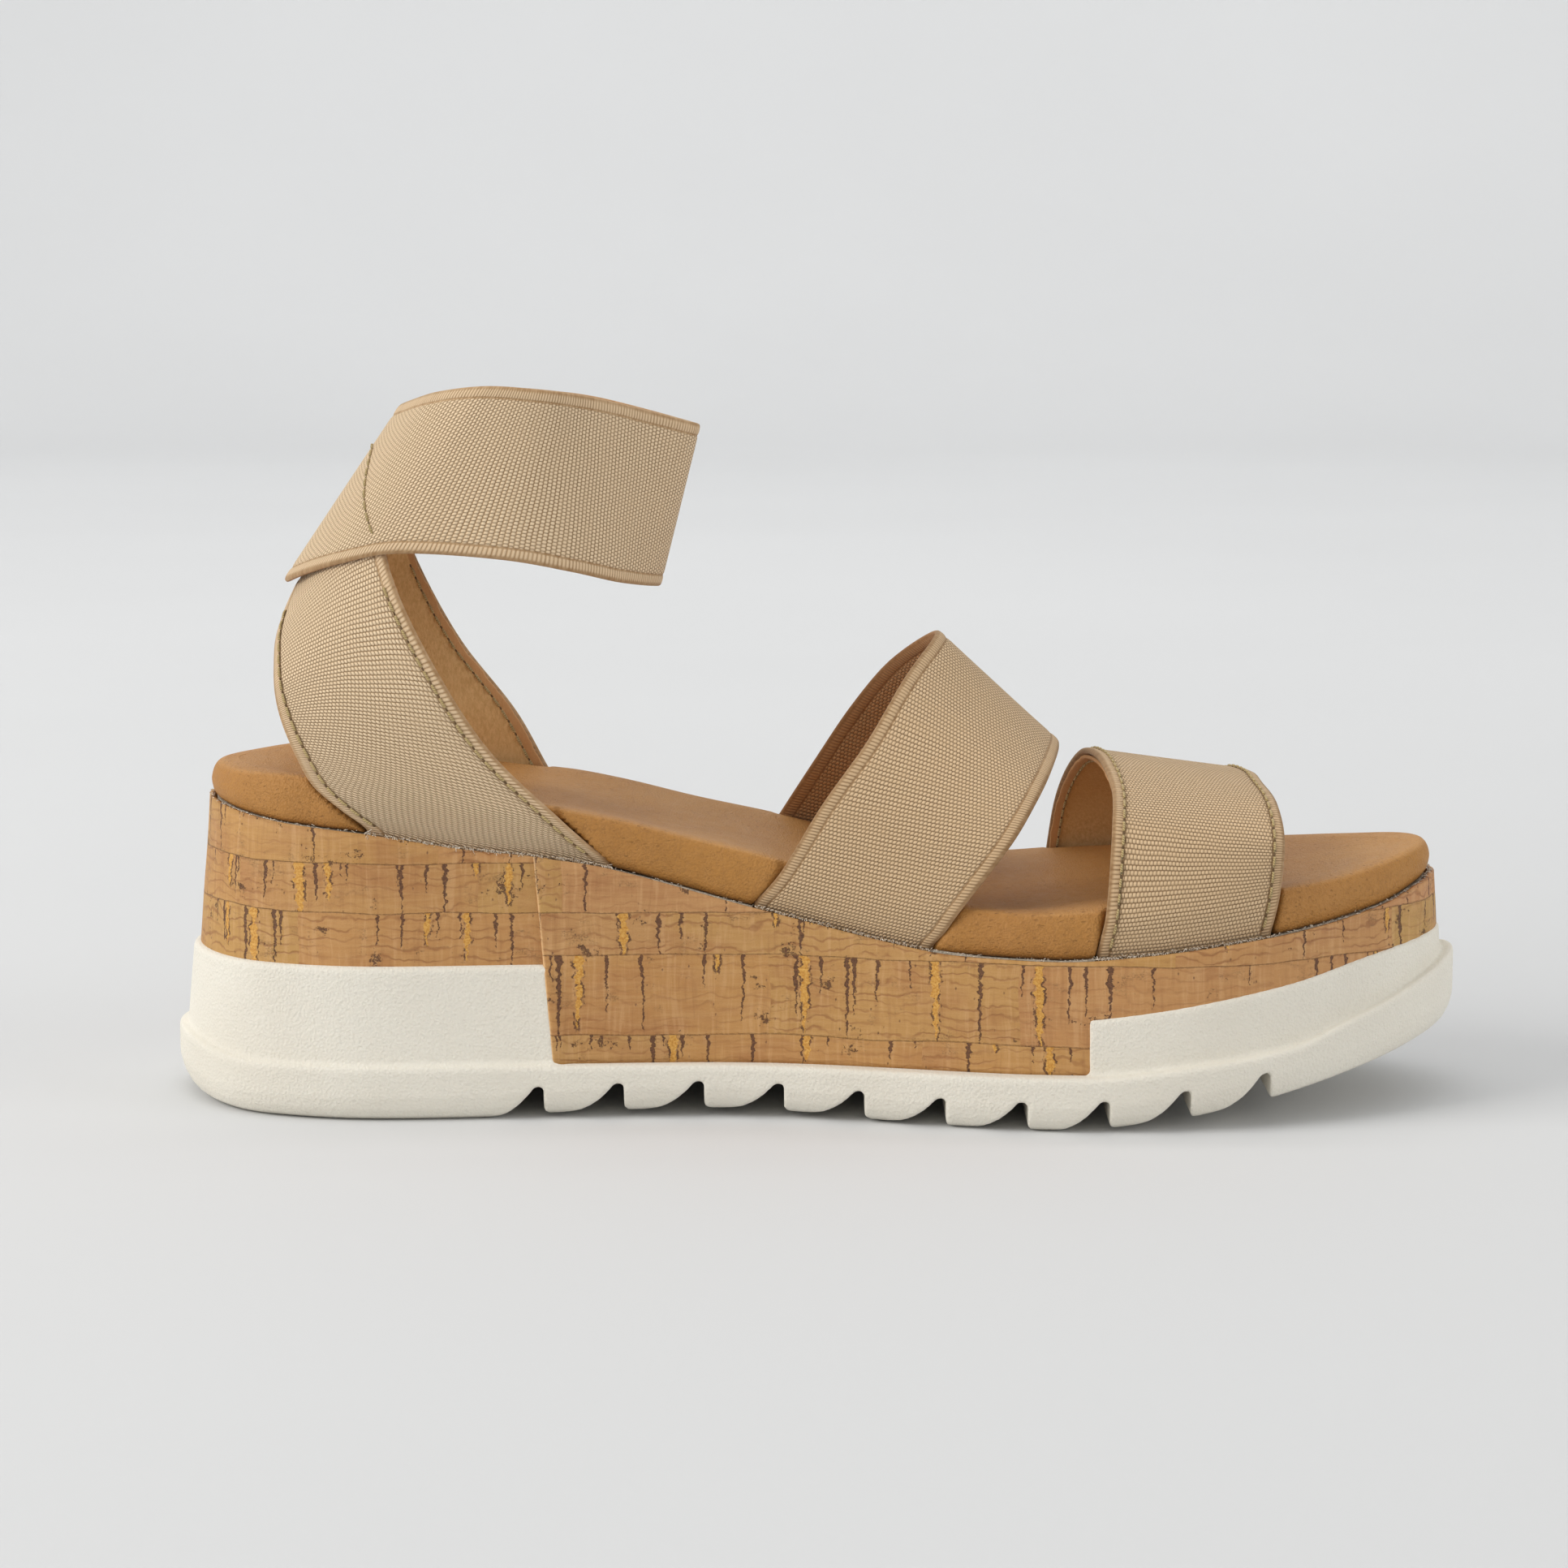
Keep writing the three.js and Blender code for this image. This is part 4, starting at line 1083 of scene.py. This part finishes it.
BAND_LOWER = [(-110.6, 0, 106.5), (-105.5, -11, 109), (-97, -20, 112), (-86, -26, 114.4),
              (-63.2, -28, 113.3), (-50, -24, 110.6), (-40.5, -15, 107.6), (-33, 0, 105.5)]
BAND_UPPER = [(-85.6, 0, 143.2), (-82, -11, 144.9), (-76, -20, 146.9), (-66, -26, 148.2),
              (-54, -26.5, 147.3), (-46.6, -22, 146), (-36.8, -14, 143.3), (-24.5, 0, 139.3)]
BAND_ROLL = 0.1


def band_guide(u):
    half = np.array(BAND_LOWER, float) * (1 - u) + np.array(BAND_UPPER, float) * u
    back = half[-2:0:-1].copy()
    back[:, 2] += BAND_ROLL * back[:, 1] * smooth(np.clip((back[:, 0] + 112) / 32, 0, 1))
    back[:, 1] *= -1
    return np.vstack([half, back])


ANKLE_BAND = Strap(band_guide, closed=True)


# ------------------------------------------------------------------ straps
def elastic_section():
    """Across the elastic: (millimetres from the first edge, depth below the outer face). The edges
    are rolled, and a groove parts each selvedge from the body."""
    half = [(0.0, 0.7), (0.08, 0.38), (0.3, 0.14), (0.7, 0.02), (1.2, -0.04), (1.8, -0.03),
            (2.15, 0.04), (2.4, 0.15), (2.6, 0.16), (2.9, 0.05), (3.5, 0.0), (6.0, 0.0), (8.5, 0.0),
            (11.5, 0.0), (14.5, 0.0)]
    outer = half + [(STRAP_WIDTH - w, d) for w, d in half[::-1]]
    inner = [(w, ELASTIC - d) for w, d in outer[1:-1]][::-1]
    return outer + inner


def lining_section():
    edge = 0.5
    top, bottom = ELASTIC + LINING_GAP, LINED
    outer = [(w, top) for w in np.linspace(edge + 0.1, STRAP_WIDTH - edge - 0.1, 16)]
    inner = [(w, bottom) for w in np.linspace(STRAP_WIDTH - edge - 0.25, edge + 0.25, 16)]
    middle = (top + bottom) / 2
    return outer + [(STRAP_WIDTH - edge, middle)] + inner + [(edge, middle)]


def sweep(name, strap, section, step, material, depth=0.0, ragged=0.0, inside=None):
    """A closed band whose section runs along the strap."""
    t, stops = strap.spaced(step)
    total = stops[-1]
    if strap.closed:
        t, stops = t[:-1], stops[:-1]
    widths = np.array([w for w, _ in section])
    depths = np.array([d for _, d in section]) + depth
    order, back = np.unique(widths, return_inverse=True)
    point, normal = strap.frame(t % 1 if strap.closed else t, order / STRAP_WIDTH)
    position = point[:, back] - normal[:, back] * depths[None, :, None]
    if ragged:
        wander = np.cumsum(NOISE.normal(0, 1, (len(t), 2)), 0)
        wander -= np.stack([np.convolve(w, np.ones(9) / 9, "same") for w in wander.T], 1)
        across = unit(point[:, -1] - point[:, 0])
        pull = np.where(widths < 1.0, wander[:, :1], 0)
        pull = pull + np.where(widths > STRAP_WIDTH - 1, wander[:, 1:], 0)
        position = position + across[:, None] * np.clip(pull, -1.5, 1.5)[..., None] * ragged
    rows, columns = position.shape[:2]
    uvs = np.stack([np.repeat(stops[:, None], columns, 1), np.repeat(widths[None], rows, 0)], 2)
    vertices = position.reshape(-1, 3)
    uvs = uvs.reshape(-1, 2)
    faces = grid_faces(rows, columns, wrap_columns=True)
    if strap.closed:
        # the last row repeats the first, so that the weave's count runs on to the join
        vertices = np.vstack([vertices, vertices[:columns]])
        uvs = np.vstack([uvs, uvs[:columns] + (total, 0)])
        faces = grid_faces(rows + 1, columns, wrap_columns=True)
    else:
        faces.append(tuple(range(columns)))
        faces.append(tuple(range(rows * columns - 1, (rows - 1) * columns - 1, -1)))
    obj = new_object(name, place(vertices), faces, uvs, material)
    if inside is not None:
        obj.data.materials.append(inside)
        for index, polygon in enumerate(obj.data.polygons):
            polygon.material_index = int(index % columns > columns // 2 and len(polygon.vertices) == 4)
    with editing(obj) as bm:
        if strap.closed:
            bmesh.ops.remove_doubles(bm, verts=bm.verts, dist=1e-7)
    return obj


def build_straps():
    section = elastic_section()
    elastics = [("toe_strap_band", TOE_STRAP, WEAVE_SHADED, None, "toe_strap_elastic"),
                ("vamp_strap_band", VAMP_STRAP, WEAVE_SHADED, WEAVE_INSIDE, "vamp_strap_elastic"),
                ("heel_strap_sling", HEEL_STRAP, WEAVE_SLANT, None, "heel_strap_elastic")]
    for name, strap, material, inside, node in elastics:
        put_on(sweep(name, strap, section, 0.9, material, inside=inside), "sandal", "elastic", node)
    linings = [("toe_strap_suede", TOE_STRAP, 0.09, "toe_strap_lining"),
               ("heel_strap_suede", HEEL_STRAP, 0.12, "heel_strap_lining")]
    for name, strap, ragged, node in linings:
        lining = sweep(name, strap, lining_section(), 0.8, SUEDE, ragged=ragged)
        put_on(lining, "sandal", "strap_lining", node)
    band = sweep("ankle_band", ANKLE_BAND, section, 0.9, WEAVE, depth=BAND_TOP, inside=WEAVE_INSIDE)
    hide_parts("ankle_band_back", "ankle_band_loop")
    start = place((HINGE[0] - BEND_BEHIND, 0, HINGE[2]))
    end = place((HINGE[0] + BEND_AHEAD, 0, HINGE[2]))
    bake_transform(band)


# ------------------------------------------------------------------ stitches
def tube(path, radius, sides=7):
    """Vertices, faces and UVs of a capped tube along the path, thinner at its ends."""
    path = np.asarray(path, float)
    along = unit(np.gradient(path, axis=0))
    spare = np.array([0.0, 0.0, 1.0]) if abs(along[0][2]) < 0.8 else np.array([1.0, 0.0, 0.0])
    vertices, uvs = [], []
    count = len(path)
    length = running_length(path)
    for i, (p, d) in enumerate(zip(path, along)):
        a = unit(np.cross(d, spare))
        b = np.cross(d, a)
        r = radius * (0.55 if i in (0, count - 1) else 1.0)
        for k in range(sides):
            turn = 2 * math.pi * k / sides
            vertices.append(p + r * (math.cos(turn) * a + math.sin(turn) * b))
            uvs.append((length[i], k / sides))
    faces = grid_faces(count, sides, wrap_columns=True)
    faces.append(tuple(range(sides))[::-1])
    faces.append(tuple(range((count - 1) * sides, count * sides)))
    return vertices, faces, uvs


class Pile:
    """Small meshes gathered into one object. The kind of each is its place in the materials."""

    def __init__(self):
        self.vertices, self.faces, self.uvs, self.kinds = [], [], [], []

    def add(self, part, kind=0):
        vertices, faces, uvs = part
        first = len(self.vertices)
        self.vertices.extend(vertices)
        self.uvs.extend(uvs)
        self.faces.extend(tuple(first + i for i in face) for face in faces)
        self.kinds.extend([kind] * len(faces))

    def finish(self, name, *materials):
        obj = new_object(name, place(self.vertices), self.faces, self.uvs)
        for material in materials:
            obj.data.materials.append(material)
        for polygon, kind in zip(obj.data.polygons, self.kinds):
            polygon.material_index = kind
        return obj


def stitches(name, lines):
    """A row of stitches. lines is a list of (start point, end point, outward normal) in mm."""
    pile = Pile()
    s = np.linspace(0, 1, 9)[:, None]
    for a, b, normal in lines:
        span = b - a
        lift = 0.02 + 0.24 * np.sin(math.pi * s) ** 0.45 - 0.36 * (np.abs(2 * s - 1) > 0.95)
        pile.add(tube(a + span * (0.13 + 0.74 * s) + normal * lift, THREAD_RADIUS))
        # painted shade: a short dark tube at each needle hole stands in for the shade inside it
        hole = a - normal * 0.1
        half = unit(span) * 0.36
        pile.add(tube([hole - half, hole, hole + half], 0.27), 1)
    return pile.finish(name, THREAD, HOLE)


def row_on(strap, start, end, edge, depth=0.0):
    """Stitches along one edge of a strap, between two of its control points. A depth puts them on
    the strap's inner face, that far below the outer one."""
    u = STITCH_INSET / STRAP_WIDTH
    u = u if edge == "first" else 1 - u
    t, _ = strap.spaced(STITCH_PITCH, start / strap.segments, end / strap.segments, u)
    point, normal = (part[:, 0] for part in strap.frame(t, np.array([u])))
    if depth:
        point = point - normal * depth
        normal = -normal
    return [(point[i], point[i + 1], normal[i]) for i in range(len(t) - 1)]


def band_row():
    """The V of stitches that sews the ankle band to the heel strap."""
    half = [(0.015, 0.76), (0.035, 0.73), (0.065, 0.62), (0.099, 0.48), (0.127, 0.35), (0.177, 0.13)]
    marks = np.array([(-t, u) for t, u in half[::-1]] + half)
    fine = np.linspace(0, 1, 200)
    t, u = (np.interp(fine, np.linspace(0, 1, len(marks)), column) for column in marks.T)
    points = []
    for ti, ui in zip(t, u):
        point, normal = (part[0, 0] for part in ANKLE_BAND.frame(np.array([ti % 1]), np.array([ui])))
        points.append(np.concatenate([point - normal * BAND_TOP, normal]))
    points = np.array(points)
    length = running_length(points[:, :3])
    stops = np.linspace(0, length[-1], int(length[-1] / STITCH_PITCH) + 1)
    at = np.stack([np.interp(stops, length, points[:, k]) for k in range(6)], 1)
    return [(at[i, :3], at[i + 1, :3], at[i, 3:]) for i in range(len(at) - 1)]


def build_stitches():
    rows = [("toe_stitches_rear", TOE_STRAP, 3.4, 14.6, "first", "toe_strap_thread_rear"),
            ("toe_stitches_front", TOE_STRAP, 3.4, 14.6, "second", "toe_strap_thread_front"),
            ("heel_stitches_lower_inner", HEEL_STRAP, 3.4, 10.8, "first", "heel_strap_thread_lower_inner"),
            ("heel_stitches_upper_inner", HEEL_STRAP, 3.4, 8.2, "second", "heel_strap_thread_upper_inner"),
            ("heel_stitches_lower_outer", HEEL_STRAP, 13.2, 20.6, "first", "heel_strap_thread_lower_outer"),
            ("heel_stitches_upper_outer", HEEL_STRAP, 15.8, 20.6, "second", "heel_strap_thread_upper_outer")]
    for name, strap, start, end, edge, node in rows:
        put_on(stitches(name, row_on(strap, start, end, edge)), "sandal", "thread", node)
        under = row_on(strap, start, end, edge, LINED + 0.02)
        put_on(stitches(name + "_under", under), "sandal", "thread")
    put_on(stitches("ankle_band_stitches", band_row()), "sandal", "thread", "ankle_band_thread")


# ------------------------------------------------------------------ frayed edges
FRAYS_PER_MM = 5
EDGE_FRAYS = 650


def fibre(root, way, length, thickness):
    side = np.array([RNG.gauss(0, 1) for _ in range(3)])
    s = np.linspace(0, 1, 4)[:, None]
    return tube(root + way * s * length + side * 0.22 * length * s * s, thickness, sides=3)


def build_frays():
    """The cut ends of the straps and the cloth under the leather show as a whitish fuzz."""
    roots = []
    sides = dict(zip(("near", "far"), outline(level(0.35))))
    for (first, second), _ in STRAP_FEET:
        for side, sign in (("near", -1), ("far", 1)):
            low, high = first[side][0] - 0.4, second[side][0] + 0.4
            for _ in range(int((high - low) * FRAYS_PER_MM)):
                x = RNG.uniform(low, high)
                root = np.array([x, side_y(sides[side], x), pad_line(x) + RNG.uniform(-0.1, 0.35)])
                way = np.array([RNG.gauss(0, 0.5), sign * RNG.uniform(0.2, 0.9), RNG.uniform(-1.0, 0.5)])
                roots.append((root, way, RNG.uniform(0.3, 0.95), RNG.uniform(0.05, 0.11)))
    for side, sign in (("near", -1), ("far", 1)):
        edge = sides[side]
        for _ in range(EDGE_FRAYS):
            x, y = edge[RNG.randrange(len(edge))]
            root = np.array([x + RNG.uniform(-0.5, 0.5), y, pad_line(x) + RNG.uniform(-0.15, 0.25)])
            way = np.array([RNG.gauss(0, 0.8), sign * RNG.uniform(0.0, 0.4), RNG.uniform(-0.5, 0.6)])
            roots.append((root, way, RNG.uniform(0.2, 0.55), RNG.uniform(0.05, 0.1)))
    pile = Pile()
    for root in roots:
        pile.add(fibre(*root))
    put_on(pile.finish("frayed_cloth_edge", FRAY), "sandal", "elastic")


# ------------------------------------------------------------------ the whole sandal
def plain_inner_pieces():
    """The pieces nobody sees keep their CAD shapes."""
    finishes = {
        "wedge_core": foam_material("wedge_foam", rgb(216, 206, 188), rgb(188, 178, 158), 1.6),
        "insole_board": board_material(),
        "footbed_foam": foam_material("pad_foam", rgb(232, 222, 190), rgb(206, 194, 160), 1.1),
    }
    for node, material in finishes.items():
        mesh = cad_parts[node].data
        mesh.materials.clear()
        mesh.materials.append(material)


# The studio, in metres: the floor's reach, and where the backdrop bends up, how sharply, how high.
FLOOR_REACH = 12.0
BACKDROP_START = 2.2
BACKDROP_BEND = 1.2
BACKDROP_TOP = 5.0
CAMERA_LENS = 92.385
CAMERA_PLACE = (-0.0066, -0.8374, 0.1844)
CAMERA_DIP = 8.2


def build_studio():
    """A pale seamless floor, soft light from above and both sides, and the camera."""
    scene = bpy.context.scene
    turn = np.linspace(0, math.pi / 2, 24)
    bend = [(BACKDROP_START + BACKDROP_BEND * math.sin(a), BACKDROP_BEND - BACKDROP_BEND * math.cos(a))
            for a in turn]
    side = [(-FLOOR_REACH, 0.0), (0.0, 0.0), *bend, (BACKDROP_START + BACKDROP_BEND, BACKDROP_TOP)]
    vertices = [(x, y, z) for y, z in side for x in (-FLOOR_REACH, FLOOR_REACH)]
    floor = new_object("studio_floor", vertices, grid_faces(len(side), 2), material=floor_material())
    world = bpy.data.worlds.new("studio")
    world.use_nodes = True
    sky = world.node_tree.nodes["Background"].inputs
    sky[0].default_value = rgb(242, 242, 241)
    sky[1].default_value = 0.62
    scene.world = world

    def softbox(name, location, target, size, power, tint):
        light = bpy.data.lights.new(name, "AREA")
        light.shape = "RECTANGLE"
        light.size, light.size_y = size
        light.energy = power
        light.color = tint
        obj = bpy.data.objects.new(name, light)
        obj.location = location
        obj.rotation_euler = (Vector(target) - Vector(location)).to_track_quat("-Z", "Y").to_euler()
        scene.collection.objects.link(obj)

    softbox("key", (-1.9, -0.7, 1.2), (0, 0, 0.05), (1.3, 1.3), 31.0, (1.0, 0.98, 0.95))
    softbox("top", (-0.3, 0.1, 2.6), (0, 0, 0.03), (2.4, 1.8), 9.0, (1.0, 0.99, 0.97))
    softbox("fill", (2.8, -1.1, 0.9), (0, 0, 0.05), (1.6, 1.4), 22.0, (1.0, 1.0, 1.0))
    softbox("backdrop", (0.0, 0.9, 2.6), (0, 3.3, 0.9), (4.5, 0.8), 41.0, (1.0, 1.0, 1.0))

    camera = bpy.data.cameras.new("camera")
    camera.sensor_width = 36.0
    camera.lens = CAMERA_LENS
    camera.clip_start = 0.05
    camera.dof.use_dof = False
    eye = bpy.data.objects.new("camera", camera)
    eye.location = CAMERA_PLACE
    eye.rotation_euler = (math.radians(90 - CAMERA_DIP), 0, 0)
    scene.collection.objects.link(eye)
    scene.camera = eye
    scene.view_settings.view_transform = "Standard"


plain_inner_pieces()
build_outsole()
cork_sheet("cork_heel_sheet", None, CORK_SEAM + 3, 0.0, "cork_wrap_heel", CORK_HEEL)
cork_sheet("cork_front_sheet", CORK_SEAM, None, 0.75, "cork_wrap_front", CORK_FRONT)
build_footbed()
build_straps()
build_stitches()
build_frays()
build_studio()
